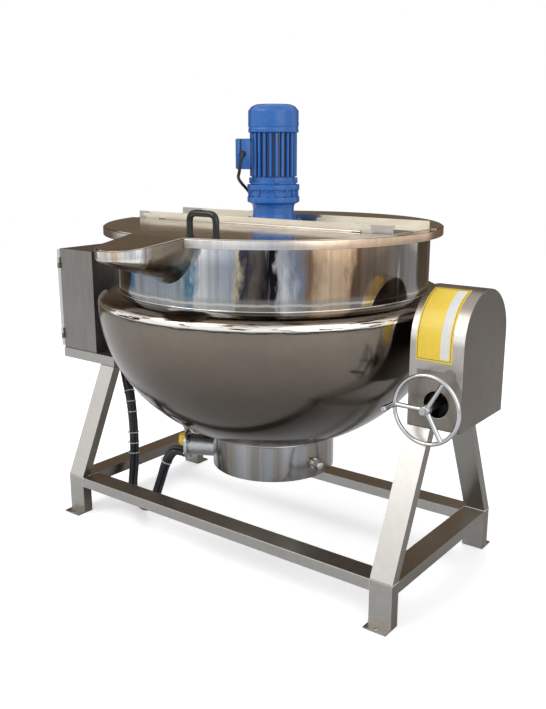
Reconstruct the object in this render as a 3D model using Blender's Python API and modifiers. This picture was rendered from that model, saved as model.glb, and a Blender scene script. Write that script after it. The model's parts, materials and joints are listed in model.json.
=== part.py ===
"""Tilting jacketed kettle with a scraper agitator on a welded tube stand.

The bowl hangs between two bearings. A handwheel turns a worm, the worm turns a
wheel on the right trunnion, and the whole kettle tips towards its spout (-Y).
The motor and its reducer ride on a channel across the rim and turn a frame with
scraper blades inside the bowl. Lengths are metres, +Z is up, X is the tilt axis.
"""
import math

import bmesh
import bpy
from mathutils import Matrix, Vector

# General
CLEARANCE = 0.0003
OVERRUN = 0.02
BIG_STEPS = 40
ROUND_STEPS = 24
SMALL_STEPS = 16
SHEET = 0.003

# Stand: welded rectangular tube
TUBE_WIDE = 0.080
TUBE_DEEP = 0.040
TUBE_WALL = 0.003
JACKET_TO_STAND_END = 0.120
STAND_HALF_DEPTH = 0.359
RAIL_TOP = 0.152
LEFT_LEG_DROP = 0.028
LEG_TOP_HALF_DEPTH = 0.155
FOOT_PLATE = 0.005
FOOT_TOE = 0.034
FOOT_HOLE_RADIUS = 0.006
FOOT_HOLE_INSET = 0.014

# Left shelf and electric box
SHELF_HEIGHT = 0.040
SHELF_OVERHANG = 0.230
SHELF_HALF_DEPTH = 0.166
BOX_WIDTH = 0.199
BOX_HALF_DEPTH = 0.160
BOX_HEIGHT = 0.420
DOOR_THICKNESS = 0.018
DOOR_EDGE = 0.006
DOOR_RETURN = 0.010
HINGE_RADIUS = 0.006
HINGE_PIN_RADIUS = 0.003
HINGE_KNUCKLE = 0.022
HINGE_SINK = 0.001
HINGE_STRAP = 0.019
HINGE_INSET = 0.060
LATCH_RADIUS = 0.012
LATCH_HEAD = 0.010
LATCH_BAR = (0.003, 0.012, 0.030)
KNOB_RADIUS = 0.024
KNOB_DEPTH = 0.020
KNOB_HEIGHT_SHARE = 0.72
BUTTON_RADIUS = 0.011
BUTTON_DEPTH = 0.010
BUTTON_TRAVEL = 0.004
BUTTON_HEIGHT_SHARE = 0.52
BUTTON_SPACING = 0.080
STEM_RADIUS = 0.004
STEM_DEPTH = 0.012
CONTACTOR = (0.085, 0.220, 0.075)
CONTACTOR_HEIGHT_SHARE = 0.55
GLAND_RADIUS = 0.021
GLAND_LENGTH = 0.024
GLAND_Y = -0.060

# Kettle: the bowl, its jacket and rim
KETTLE_X = 0.022
TILT_AXIS_HEIGHT = 0.855
RIM_OVER_AXIS = 0.322
RIM_TOP = TILT_AXIS_HEIGHT + RIM_OVER_AXIS
BOWL_RADIUS = 0.550
BOWL_WALL = 0.003
WALL_HEIGHT = 0.262
DISH_TOP = RIM_TOP - WALL_HEIGHT
DISH_DEPTH = 0.400
DISH_STEPS = 9
JACKET_SPACE = 0.073
JACKET_RADIUS = BOWL_RADIUS + BOWL_WALL + JACKET_SPACE
JACKET_WALL = 0.004
JACKET_DEPTH = 0.536
JACKET_STEPS = 9
SHOULDER_RISE = 0.046
SHOULDER_STEPS = 4
RIM_OVERHANG = 0.043
RIM_RADIUS = BOWL_RADIUS + BOWL_WALL + RIM_OVERHANG
RIM_LIP = 0.026

# Heater housing under the jacket
SUMP_RADIUS = 0.228
SUMP_UNDER_AXIS = 0.572
SUMP_BOTTOM = TILT_AXIS_HEIGHT - SUMP_UNDER_AXIS
SUMP_WALL = 0.004
SUMP_FLOOR = 0.006
PORT_ANGLE = math.radians(-152.0)
PORT_LIFT = 0.043
PORT_HEIGHT = SUMP_BOTTOM + PORT_LIFT
PORT_RADIUS = 0.041
PORT_REACH = 0.338
PORT_WALL = 0.004
PORT_FLANGE_RADIUS = 0.058
PORT_FLANGE = 0.012
CAP_RADIUS = 0.0295
CAP_LENGTH = 0.030
CAP_LIFT = 0.018
PORT_GLAND_DROP = 0.0345
PORT_GLAND_RADIUS = 0.021
PORT_GLAND_LENGTH = 0.016
ELEMENT_RADIUS = 0.008
ELEMENT_HALF_WIDTH = 0.025
ELEMENT_REACH = 0.130
DRAIN_ANGLE = math.radians(-14.0)
DRAIN_LIFT = 0.055
DRAIN_HEIGHT = SUMP_BOTTOM + DRAIN_LIFT
DRAIN_RADIUS = 0.010
DRAIN_LENGTH = 0.034
DRAIN_CAP_RADIUS = 0.015
DRAIN_CAP_LENGTH = 0.030

# Spout
SPOUT_ROOT_HALF_WIDTH = 0.112
SPOUT_SQUARE_SHARE = 2.5
SPOUT_TIP_HALF_WIDTH = 0.094
SPOUT_LENGTH = 0.245
SPOUT_REACH = BOWL_RADIUS + SPOUT_LENGTH
SPOUT_BEND_OFFSET = 0.035
SPOUT_CHORD = BOWL_RADIUS + SPOUT_BEND_OFFSET
SPOUT_DROP = 0.027
SPOUT_ROOT_DEPTH = 0.146
SPOUT_TIP_DEPTH = 0.024
SPOUT_WALL = 0.003
SPOUT_ROWS = 14
SPOUT_COLUMNS = 12
SPOUT_MOUTH_MARGIN = 0.008

# Trunnions, bearings and worm drive
TRUNNION_RADIUS = 0.035
TRUNNION_PLATE_RADIUS = 0.075
TRUNNION_PLATE = 0.010
LEFT_SHAFT_SPARE = 0.016
RIGHT_SHAFT_SPARE = 0.064
BEARING_GAP = 0.0004
BEARING_BLOCK_HALF_DEPTH = 0.065
BEARING_CROWN = 0.062
LEFT_BEARING_SETBACK = 0.002
LEFT_BEARING_WIDTH = 0.032
RIGHT_BEARING_SETBACK = 0.010
RIGHT_BEARING_WIDTH = 0.030
GEAR_MODULE = 0.005
WHEEL_TEETH = 58
WHEEL_WIDTH = 0.036
TOOTH_SHARE = 0.34
WORM_PITCH_RADIUS = 0.031
WORM_LENGTH = 0.062
WORM_ROWS_PER_PITCH = 6
WORM_SHAFT_RADIUS = 0.012
BEARING_TO_WORM = 0.056
WORM_BEARING_HALF_WIDTH = 0.030
WORM_BEARING_DEPTH = 0.022
WORM_BEARING_Y = 0.062
BRACKET_PLATE = 0.008
HOUSING_END_SPACE = 0.019
HOUSING_HALF_DEPTH = 0.157
HOUSING_BOTTOM_UNDER_AXIS = 0.255
HOUSING_BOTTOM = TILT_AXIS_HEIGHT - HOUSING_BOTTOM_UNDER_AXIS
HOUSING_ARCH_LIFT = 0.011
HOUSING_ARCH_CENTRE = TILT_AXIS_HEIGHT + HOUSING_ARCH_LIFT
HOUSING_WALL = 0.003
HOUSING_SHAFT_HOLE = 0.048
HOUSING_CUTOUT_RADIUS = 0.042
ARCH_STEPS = 20

# Handwheel
HANDWHEEL_Y = -0.222
HANDWHEEL_RADIUS = 0.106
HANDWHEEL_TUBE = 0.0065
HANDWHEEL_HUB_RADIUS = 0.0155
HANDWHEEL_HUB_LENGTH = 0.034
HANDWHEEL_SPOKE_RADIUS = 0.0058
HANDWHEEL_SPOKE_TURN = math.radians(180.0)
HANDWHEEL_BORE_GAP = 0.0003
NUT_RADIUS = 0.011
NUT_LENGTH = 0.010
GRIP_RADIUS = 0.010
GRIP_LENGTH = 0.066
GRIP_PIN_RADIUS = 0.004

# Channel across the rim
BEAM_OVERLAP = 0.002
BEAM_HALF_LENGTH = BOWL_RADIUS + BEAM_OVERLAP
BEAM_HALF_WIDTH = 0.122
BEAM_HEIGHT = 0.028
BEAM_SHEET = 0.004

# Lids
LID_SHEET = 0.003
LID_EDGE_INSET = 0.006
LID_RADIUS = RIM_RADIUS - LID_EDGE_INSET
LID_STEPS = 28
LID_SPOUT_INSET = 0.003
LID_HINGE_RADIUS = 0.004
LID_HINGE_BORE = 0.0044
LID_HINGE_LUG = 0.012
LID_HINGE_INSET = 0.112
LID_HINGE_HALF_LENGTH = BEAM_HALF_LENGTH - LID_HINGE_INSET
HANDLE_TUBE = 0.008
HANDLE_HEIGHT = 0.084
HANDLE_SPAN = 0.102
HANDLE_CORNER = 0.018
HANDLE_SIDE = 0.137
HANDLE_EDGE_INSET = 0.060
HANDLE_FROM_AXIS = (HANDLE_SIDE, HANDLE_EDGE_INSET - LID_RADIUS)

# Reducer and motor, heights above the channel's web
REDUCER_FLANGE_RADIUS = 0.100
REDUCER_FLANGE = 0.012
REDUCER_NECK_RADIUS = 0.076
REDUCER_NECK = 0.052
REDUCER_DISC_RADIUS = 0.092
REDUCER_CONE = 0.008
REDUCER_DISC = 0.018
REDUCER_RING_RADIUS = 0.084
REDUCER_RING = 0.024
MOTOR_NECK_RADIUS = 0.0745
MOTOR_NECK = 0.026
MOTOR_FIN_LENGTH = 0.149
MOTOR_ROOT_RADIUS = 0.0745
MOTOR_FIN_RADIUS = 0.0825
MOTOR_FINS = 24
MOTOR_FIN_SHARE = 0.45
MOTOR_BORE = 0.062
MOTOR_END_PLATE = 0.010
COWL_RADIUS = 0.0875
COWL_HEIGHT = 0.073
COWL_DOME = 0.021
COWL_TOP_RADIUS = 0.060
COWL_WALL = 0.002
COWL_INTAKE_RADIUS = 0.030
COWL_FOOT_RADIUS = 0.073
ROTOR_RADIUS = 0.040
ROTOR_SHAFT_RADIUS = 0.009
ROTOR_CORE = 0.100
FAN_RADIUS = 0.070
FAN_HEIGHT = 0.024
FAN_BLADES = 6
FAN_BLADE = 0.003
TERMINAL_ANGLE = math.radians(-138.0)
TERMINAL_REACH = 0.131
TERMINAL_WIDTH = 0.076
TERMINAL_HEIGHT = 0.103
TERMINAL_CENTRE = 0.236
TERMINAL_GLAND_RADIUS = 0.011
TERMINAL_GLAND_LENGTH = 0.012
MOTOR_CABLE_RADIUS = 0.0055
WEB_GROMMET_RADIUS = 0.012
WEB_GROMMET = 0.006

# Agitator
AGITATOR_SHAFT_RADIUS = 0.022
AGITATOR_BORE_GAP = 0.0005
ANCHOR_CLEAR = 0.040
ANCHOR_TUBE = 0.015
ANCHOR_TOP_DROP = 0.100
ANCHOR_HUB_RADIUS = 0.034
ANCHOR_HUB_LENGTH = 0.060
ANCHOR_ARM_DROP = 0.260
ANCHOR_STEPS = 14
SCRAPER_WIDTH = 0.024
SCRAPER_THICK = 0.010
SCRAPER_LENGTH = 0.150
SCRAPER_BOWL_GAP = 0.003

# Power cable, its route chosen by hand from the photograph
CABLE_RADIUS = 0.0205
CABLE_RUN_SHARES = (0.1556, 0.2254, 0.3092, 0.4394, 0.6022, 0.7372, 0.7744, 0.7930, 0.8581, 0.9558)
CABLE_SIDES = (-0.199, -0.208, -0.212, -0.205, -0.180, -0.146, -0.120, -0.108, -0.090, -0.068)
CABLE_FIRST_HEIGHT_SHARES = (0.8233, 0.5146, 0.2127)
CABLE_LAST_HEIGHT_SHARES = (0.1061, 0.2739, 0.5136, 0.7191, 0.8475)
CABLE_LOW_HEIGHT = 0.028
CABLE_STEPS = 44

# Motor cable, outwards, sideways and up as the terminal box sees it
MOTOR_CABLE_STEPS = 28
MOTOR_CABLE_EXIT = (0.060, 0.102)
MOTOR_CABLE_ROUTE = (
    (0.118, 0.062, 0.2104),
    (0.122, 0.056, 0.1784),
    (0.124, 0.020, 0.1564),
    (0.112, -0.045, 0.1364),
    (0.080, -0.092, 0.0984),
    (0.060, -0.101, 0.0484),
)

# Shares of other sizes
PATH_END_SHARE = 0.2
CONTACTOR_RAIL_SHARE = 0.4
WORM_EAR_SHARE = 0.8
TOOTH_ROOT_SHARE = 1.15
TOOTH_TIP_SHARE = 0.9
THREAD_FOOT_SHARE = 0.12
THREAD_FLANK_SHARE = 0.16
WHEEL_FOOT_SHARE = 0.1
WHEEL_TIP_SHARE = 0.16
WHEEL_WIDEN_SHARE = 1.5
WORM_TAIL_SHARE = 0.6
SPOKE_ROOT_SHARE = 0.65
GRIP_ROOT_SHARE = 0.8
POINTED_SHARE = 0.1
MOUTH_START_SHARE = 0.86
SPOUT_START_SHARE = 0.96
CAP_TOP_SHARE = 0.8
DRAIN_CAP_START_SHARE = 0.35
TRUNNION_ROOT_SHARE = 0.94
HINGE_LIFT_SHARE = 0.5
COWL_BEND_SHARE = 0.62
ROTOR_SEAT_SHARE = 0.9
ROTOR_TOP_SHARE = 0.8
FAN_HEIGHT_SHARE = 0.45
TERMINAL_MOUTH_SHARE = 0.55
ARM_SHARE = 0.8
SCRAPER_LIFT_SHARE = 0.55

# The legs end under the gear cover on the right and under the shelf on the left
LEG_TOP_RIGHT = HOUSING_BOTTOM
LEG_TOP_LEFT = LEG_TOP_RIGHT - LEFT_LEG_DROP
LEG_SLOPE_SHARE = (STAND_HALF_DEPTH - LEG_TOP_HALF_DEPTH) / (LEG_TOP_RIGHT - RAIL_TOP)

# Places along the tilt axis, counted outwards from the stand's middle
STAND_HALF_LENGTH = JACKET_RADIUS + JACKET_TO_STAND_END
SHELF_OUTER_X = STAND_HALF_LENGTH + SHELF_OVERHANG
HOUSING_INNER_X = STAND_HALF_LENGTH - TUBE_WIDE
LEFT_BEARING_INNER_X = HOUSING_INNER_X + LEFT_BEARING_SETBACK
RIGHT_BEARING_INNER_X = HOUSING_INNER_X + RIGHT_BEARING_SETBACK
LEFT_SHAFT_END = LEFT_BEARING_INNER_X + LEFT_BEARING_WIDTH + LEFT_SHAFT_SPARE
WORM_X = RIGHT_BEARING_INNER_X + RIGHT_BEARING_WIDTH + BEARING_TO_WORM
RIGHT_SHAFT_END = WORM_X + RIGHT_SHAFT_SPARE
HOUSING_OUTER_X = RIGHT_SHAFT_END + HOUSING_END_SPACE
GLAND_X = -LEFT_BEARING_INNER_X - LEFT_BEARING_WIDTH - GLAND_RADIUS

SHIFT = Vector((
    (SHELF_OUTER_X + DOOR_THICKNESS + 2 * CLEARANCE + KNOB_DEPTH
     - WORM_X - HANDWHEEL_RADIUS - HANDWHEEL_TUBE) / 2,
    (SPOUT_REACH + SPOUT_WALL - JACKET_RADIUS) / 2,
    0,
))

COLOURS = {
    "stainless": ((0.62, 0.60, 0.57), 0.35, 1.0),
    "polished": ((0.72, 0.70, 0.67), 0.08, 1.0),
    "mirror": ((0.80, 0.79, 0.77), 0.03, 1.0),
    "box grey": ((0.36, 0.36, 0.35), 0.40, 1.0),
    "housing": ((0.50, 0.47, 0.43), 0.32, 1.0),
    "steel": ((0.45, 0.45, 0.45), 0.40, 1.0),
    "cast": ((0.28, 0.29, 0.30), 0.60, 0.6),
    "bronze": ((0.60, 0.42, 0.20), 0.35, 1.0),
    "chrome": ((0.85, 0.86, 0.87), 0.10, 1.0),
    "zinc": ((0.62, 0.64, 0.66), 0.30, 1.0),
    "blue enamel": ((0.02, 0.16, 0.56), 0.30, 0.0),
    "film": ((0.87, 0.83, 0.74), 0.45, 0.0),
    "yellow plastic": ((0.90, 0.62, 0.02), 0.40, 0.0),
    "black plastic": ((0.02, 0.02, 0.02), 0.35, 0.0),
    "red plastic": ((0.70, 0.03, 0.02), 0.35, 0.0),
    "green plastic": ((0.03, 0.40, 0.08), 0.35, 0.0),
    "rubber": ((0.015, 0.016, 0.02), 0.60, 0.0),
    "white plastic": ((0.85, 0.85, 0.82), 0.45, 0.0),
}

parts = None
cutters = None
bodies = {}


def start():
    """Empty the scene and make the two collections."""
    global parts, cutters
    for item in list(bpy.data.objects):
        bpy.data.objects.remove(item, do_unlink=True)
    parts = bpy.data.collections.new("jacketed_kettle")
    cutters = bpy.data.collections.new("cutters")
    for collection in (parts, cutters):
        bpy.context.scene.collection.children.link(collection)


def material(name):
    """Return the material of this name, made on first use."""
    found = bpy.data.materials.get(name)
    if found:
        return found
    colour, roughness, metallic = COLOURS[name]
    made = bpy.data.materials.new(name)
    made.use_nodes = True
    shader = made.node_tree.nodes["Principled BSDF"]
    shader.inputs["Base Color"].default_value = (*colour, 1)
    shader.inputs["Roughness"].default_value = roughness
    shader.inputs["Metallic"].default_value = metallic
    made.diffuse_color = (*colour, 1)
    return made


def body(name, place, parent=None):
    """Make the empty that carries one rigid body, standing on its joint axis."""
    empty = bpy.data.objects.new(name, None)
    parts.objects.link(empty)
    place = Vector(place)
    if parent:
        empty.parent = bodies[parent][0]
        empty.location = place - bodies[parent][1]
    else:
        empty.location = place + SHIFT
    bodies[name] = (empty, place)


def attach(item, name, carrier, colour=None, at=(0, 0, 0), turn=None):
    """Name a piece and hang it on its body, `at` in the stand's frame."""
    item.name = name
    item.data.name = name
    empty, place = bodies[carrier]
    item.parent = empty
    item.location = Vector(at) - place
    if turn:
        item.rotation_euler = turn
    if colour:
        item.data.materials.append(material(colour))
        parts.objects.link(item)
    else:
        cutters.objects.link(item)
        item.hide_render = True
        item.display_type = "WIRE"
    return item


def from_bmesh(work):
    """Turn a bmesh into an object with clean normals."""
    bmesh.ops.recalc_face_normals(work, faces=work.faces)
    mesh = bpy.data.meshes.new("shape")
    work.to_mesh(mesh)
    work.free()
    return bpy.data.objects.new("shape", mesh)


def box(size, centre=(0, 0, 0)):
    """A box of the given size about a centre."""
    work = bmesh.new()
    matrix = Matrix.Translation(centre) @ Matrix.Diagonal((*size, 1))
    bmesh.ops.create_cube(work, size=1, matrix=matrix)
    return from_bmesh(work)


def cylinder(radius, length, centre=(0, 0, 0), axis="Z", steps=ROUND_STEPS, top=None):
    """A cylinder or cone along X, Y or Z, `top` being its radius at the far end."""
    work = bmesh.new()
    turns = {
        "Z": Matrix.Identity(4),
        "X": Matrix.Rotation(math.pi / 2, 4, "Y"),
        "Y": Matrix.Rotation(-math.pi / 2, 4, "X"),
    }
    bmesh.ops.create_cone(
        work, cap_ends=True, segments=steps, radius1=radius,
        radius2=radius if top is None else top, depth=length,
        matrix=Matrix.Translation(centre) @ turns[axis],
    )
    item = from_bmesh(work)
    smooth(item)
    return item


def smooth(item, degrees=35):
    """Shade a round piece smooth with its real edges sharp."""
    item.data.shade_smooth()
    item.data.set_sharp_from_angle(angle=math.radians(degrees))


def turned(profile, steps=BIG_STEPS, closed=False):
    """Turn a profile of (radius, height) points about Z, outer side running down."""
    mesh = bpy.data.meshes.new("profile")
    edges = [(i, i + 1) for i in range(len(profile) - 1)]
    if closed:
        edges.append((len(profile) - 1, 0))
    mesh.from_pydata([(radius, 0, height) for radius, height in profile], edges, [])
    item = bpy.data.objects.new("turned", mesh)
    screw = item.modifiers.new("turn", "SCREW")
    screw.axis = "Z"
    screw.steps = screw.render_steps = steps
    screw.use_merge_vertices = True
    screw.merge_threshold = 0.00001
    screw.use_smooth_shade = True
    return item


def plate(outline, thickness, plane="XY"):
    """A flat outline made `thickness` thick about its own plane."""
    curve = bpy.data.curves.new("outline", "CURVE")
    curve.dimensions = "2D"
    curve.fill_mode = "BOTH"
    curve.extrude = thickness / 2
    spline = curve.splines.new("POLY")
    spline.points.add(len(outline) - 1)
    for point, (across, along) in zip(spline.points, outline):
        point.co = (across, along, 0, 1)
    spline.use_cyclic_u = True
    item = solid_curve(curve)
    if plane == "YZ":
        item.data.transform(Matrix(((0, 0, 1, 0), (1, 0, 0, 0), (0, 1, 0, 0), (0, 0, 0, 1))))
    return item


def tube(points, radius, resolution=4, cyclic=False):
    """A round tube along a list of points."""
    curve = bpy.data.curves.new("path", "CURVE")
    curve.dimensions = "3D"
    curve.bevel_depth = radius
    curve.bevel_resolution = resolution
    curve.use_fill_caps = not cyclic
    spline = curve.splines.new("POLY")
    spline.points.add(len(points) - 1)
    for point, place in zip(spline.points, points):
        point.co = (*place, 1)
    spline.use_cyclic_u = cyclic
    item = solid_curve(curve)
    smooth(item, 50)
    return item


def solid_curve(curve):
    """Turn curve data into a welded mesh object."""
    guide = bpy.data.objects.new("guide", curve)
    bpy.context.scene.collection.objects.link(guide)
    bpy.context.view_layer.update()
    seen = guide.evaluated_get(bpy.context.evaluated_depsgraph_get())
    mesh = bpy.data.meshes.new_from_object(seen)
    bpy.data.objects.remove(guide, do_unlink=True)
    work = bmesh.new()
    work.from_mesh(mesh)
    bmesh.ops.remove_doubles(work, verts=work.verts, dist=0.00001)
    bpy.data.meshes.remove(mesh)
    return from_bmesh(work)


def combine(item, other, operation="DIFFERENCE"):
    """Cut or join another object, already attached as a cutter."""
    change = item.modifiers.new(operation.lower(), "BOOLEAN")
    change.operation = operation
    change.solver = "EXACT"
    change.object = other


def arc(centre, radius, first, last, steps):
    """Points on a circle from one angle to another, both in radians."""
    return [
        (centre[0] + radius * math.cos(first + (last - first) * i / steps),
         centre[1] + radius * math.sin(first + (last - first) * i / steps))
        for i in range(steps + 1)
    ]


def smooth_path(points, count):
    """Read points evenly along a Catmull-Rom curve, leaving both ends square."""
    points = [Vector(point) for point in points]
    ends = [2 * points[0] - points[1]] + points + [2 * points[-1] - points[-2]]
    fine = []
    for i in range(len(points) - 1):
        a, b, c, d = ends[i:i + 4]
        for j in range(20):
            t = j / 20
            fine.append(0.5 * (2 * b + (c - a) * t + (2 * a - 5 * b + 4 * c - d) * t ** 2
                               + (3 * b - a - 3 * c + d) * t ** 3))
    fine.append(points[-1])
    run = [0.0]
    for first, second in zip(fine, fine[1:]):
        run.append(run[-1] + (second - first).length)
    found = []
    at = 0
    for i in range(count):
        goal = run[-1] * i / (count - 1)
        while at < len(run) - 2 and run[at + 1] < goal:
            at += 1
        share = (goal - run[at]) / (run[at + 1] - run[at])
        found.append(fine[at].lerp(fine[at + 1], share))
    lead = run[-1] / (count - 1) * PATH_END_SHARE
    found.insert(1, points[0] + (points[1] - points[0]).normalized() * lead)
    found.insert(-1, points[-1] - (points[-1] - points[-2]).normalized() * lead)
    return found


def leg_front(height):
    """The distance from the tilt plane to a leg's outer face at a height."""
    return STAND_HALF_DEPTH - (height - RAIL_TOP) * LEG_SLOPE_SHARE


def hollow_bar(name, size, centre, along, lean=0):
    """A rectangular tube open at both ends, optionally leaning in Y with height."""
    bore = [edge - 2 * TUBE_WALL for edge in size]
    bore[along] = size[along] + 2 * OVERRUN
    bar = box(size)
    cutter = box(bore)
    if lean:
        shear = Matrix.Identity(4)
        shear[1][2] = lean
        bar.data.transform(shear)
        cutter.data.transform(shear)
    attach(bar, name, "stand", "stainless", centre)
    attach(cutter, name + "_bore", "stand", at=centre)
    combine(bar, cutter)
    return bar


def stand():
    """Base rails, corner posts with their toe plates, and the sloping legs."""
    post_x = STAND_HALF_LENGTH - TUBE_WIDE / 2
    post_y = STAND_HALF_DEPTH - TUBE_DEEP / 2
    rail_z = RAIL_TOP - TUBE_DEEP / 2
    long_rail = 2 * (STAND_HALF_LENGTH - TUBE_WIDE - CLEARANCE)
    cross_rail = 2 * (STAND_HALF_DEPTH - TUBE_DEEP - CLEARANCE)
    rail_y = STAND_HALF_DEPTH - TUBE_WIDE / 2
    hollow_bar("base_rail_front", (long_rail, TUBE_WIDE, TUBE_DEEP), (0, -rail_y, rail_z), 0)
    hollow_bar("base_rail_rear", (long_rail, TUBE_WIDE, TUBE_DEEP), (0, rail_y, rail_z), 0)
    hollow_bar("base_rail_left", (TUBE_WIDE, cross_rail, TUBE_DEEP), (-post_x, 0, rail_z), 1)
    hollow_bar("base_rail_right", (TUBE_WIDE, cross_rail, TUBE_DEEP), (post_x, 0, rail_z), 1)
    for end, side_x, leg_top in (("left", -1, LEG_TOP_LEFT), ("right", 1, LEG_TOP_RIGHT)):
        for face, side_y in (("front", -1), ("rear", 1)):
            post_height = RAIL_TOP - CLEARANCE
            post = hollow_bar(
                f"post_{face}_{end}", (TUBE_WIDE, TUBE_DEEP, post_height),
                (side_x * post_x, side_y * post_y, post_height / 2), 2,
            )
            toe_depth = TUBE_DEEP + FOOT_TOE
            toe_y = side_y * (STAND_HALF_DEPTH + FOOT_TOE - toe_depth / 2)
            toe = box((TUBE_WIDE, toe_depth, FOOT_PLATE))
            attach(toe, f"toe_{face}_{end}", "stand", at=(side_x * post_x, toe_y, FOOT_PLATE / 2))
            combine(post, toe, "UNION")
            hole = cylinder(FOOT_HOLE_RADIUS, FOOT_PLATE + OVERRUN, steps=SMALL_STEPS)
            hole_y = side_y * (STAND_HALF_DEPTH + FOOT_TOE - FOOT_HOLE_INSET)
            attach(hole, f"toe_hole_{face}_{end}", "stand", at=(side_x * post_x, hole_y, 0))
            combine(post, hole)
            rise = leg_top - RAIL_TOP - CLEARANCE
            middle = RAIL_TOP + rise / 2
            leg_y = side_y * (leg_front(middle) - TUBE_DEEP / 2)
            hollow_bar(
                f"leg_{face}_{end}", (TUBE_WIDE, TUBE_DEEP, rise),
                (side_x * post_x, leg_y, middle), 2, -side_y * LEG_SLOPE_SHARE,
            )


def left_shelf():
    """The shelf on the left legs, the cable gland under it and the bearing on it."""
    inner_x = STAND_HALF_LENGTH - TUBE_WIDE
    width = SHELF_OUTER_X - inner_x
    shelf_top = LEG_TOP_LEFT + SHELF_HEIGHT
    centre_x = -(SHELF_OUTER_X + inner_x) / 2
    shelf = box((width, 2 * SHELF_HALF_DEPTH, SHELF_HEIGHT - CLEARANCE))
    attach(shelf, "left_shelf", "stand", "stainless",
           (centre_x, 0, (LEG_TOP_LEFT + CLEARANCE + shelf_top) / 2))
    under = box((width - 2 * SHEET, 2 * (SHELF_HALF_DEPTH - SHEET), SHELF_HEIGHT))
    attach(under, "shelf_underside", "stand", at=(centre_x, 0, LEG_TOP_LEFT + SHELF_HEIGHT / 2 - SHEET))
    combine(shelf, under)

    gland = cylinder(GLAND_RADIUS, GLAND_LENGTH, steps=SMALL_STEPS)
    attach(gland, "cable_gland", "stand", "black plastic",
           (GLAND_X, GLAND_Y, shelf_top - SHEET - CLEARANCE - GLAND_LENGTH / 2))

    bearing_block("bearing_left", -LEFT_BEARING_INNER_X - LEFT_BEARING_WIDTH / 2,
                  LEFT_BEARING_WIDTH, shelf_top + CLEARANCE)


def control_box():
    """The electric box, open to its door, with its hinge knuckles."""
    box_x = -SHELF_OUTER_X + BOX_WIDTH / 2
    bottom = LEG_TOP_LEFT + SHELF_HEIGHT + CLEARANCE
    shell = box((BOX_WIDTH, 2 * BOX_HALF_DEPTH, BOX_HEIGHT))
    attach(shell, "control_box", "stand", "box grey", (box_x, 0, bottom + BOX_HEIGHT / 2))
    inside = box((BOX_WIDTH, 2 * (BOX_HALF_DEPTH - SHEET), BOX_HEIGHT - 2 * SHEET))
    attach(inside, "control_box_inside", "stand", at=(box_x - SHEET, 0, bottom + BOX_HEIGHT / 2))
    combine(shell, inside)

    hinge_x, hinge_y = door_hinge_line()
    for place, height in (("lower", bottom + HINGE_INSET), ("upper", bottom + BOX_HEIGHT - HINGE_INSET)):
        knuckle = cylinder(HINGE_RADIUS, HINGE_KNUCKLE, steps=SMALL_STEPS)
        attach(knuckle, f"hinge_knuckle_{place}", "stand", at=(hinge_x, hinge_y, height - HINGE_KNUCKLE / 2))
        combine(shell, knuckle, "UNION")
        leaf = box((HINGE_RADIUS, HINGE_RADIUS, HINGE_STRAP))
        attach(leaf, f"hinge_leaf_{place}", "stand",
               at=(hinge_x + HINGE_RADIUS, hinge_y + HINGE_RADIUS / 2, height - HINGE_KNUCKLE / 2))
        combine(shell, leaf, "UNION")
        pin = cylinder(HINGE_PIN_RADIUS, 2 * HINGE_KNUCKLE, steps=SMALL_STEPS)
        attach(pin, f"hinge_pin_{place}", "stand", at=(hinge_x, hinge_y, height))
        combine(shell, pin, "UNION")


def contactor_block():
    """The contactors on their rail, on the box's inner wall."""
    box_x = -SHELF_OUTER_X + BOX_WIDTH / 2
    bottom = LEG_TOP_LEFT + SHELF_HEIGHT + CLEARANCE
    block = box(CONTACTOR)
    block_x = box_x + BOX_WIDTH / 2 - SHEET - CLEARANCE - CONTACTOR[0] / 2
    block_z = bottom + BOX_HEIGHT * CONTACTOR_HEIGHT_SHARE
    attach(block, "contactor_block", "stand", "white plastic", (block_x, 0, block_z))
    rail = box((TUBE_WALL, 2 * (BOX_HALF_DEPTH - SHEET - OVERRUN), CONTACTOR[2] * CONTACTOR_RAIL_SHARE))
    attach(rail, "contactor_rail", "stand",
           at=(box_x + BOX_WIDTH / 2 - SHEET - CLEARANCE - TUBE_WALL / 2, 0, block_z))
    combine(block, rail, "UNION")


def door_hinge_line():
    """Where the door's hinge axis stands, in X and Y."""
    return -SHELF_OUTER_X - HINGE_RADIUS + HINGE_SINK, -BOX_HALF_DEPTH - HINGE_RADIUS + HINGE_SINK


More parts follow.
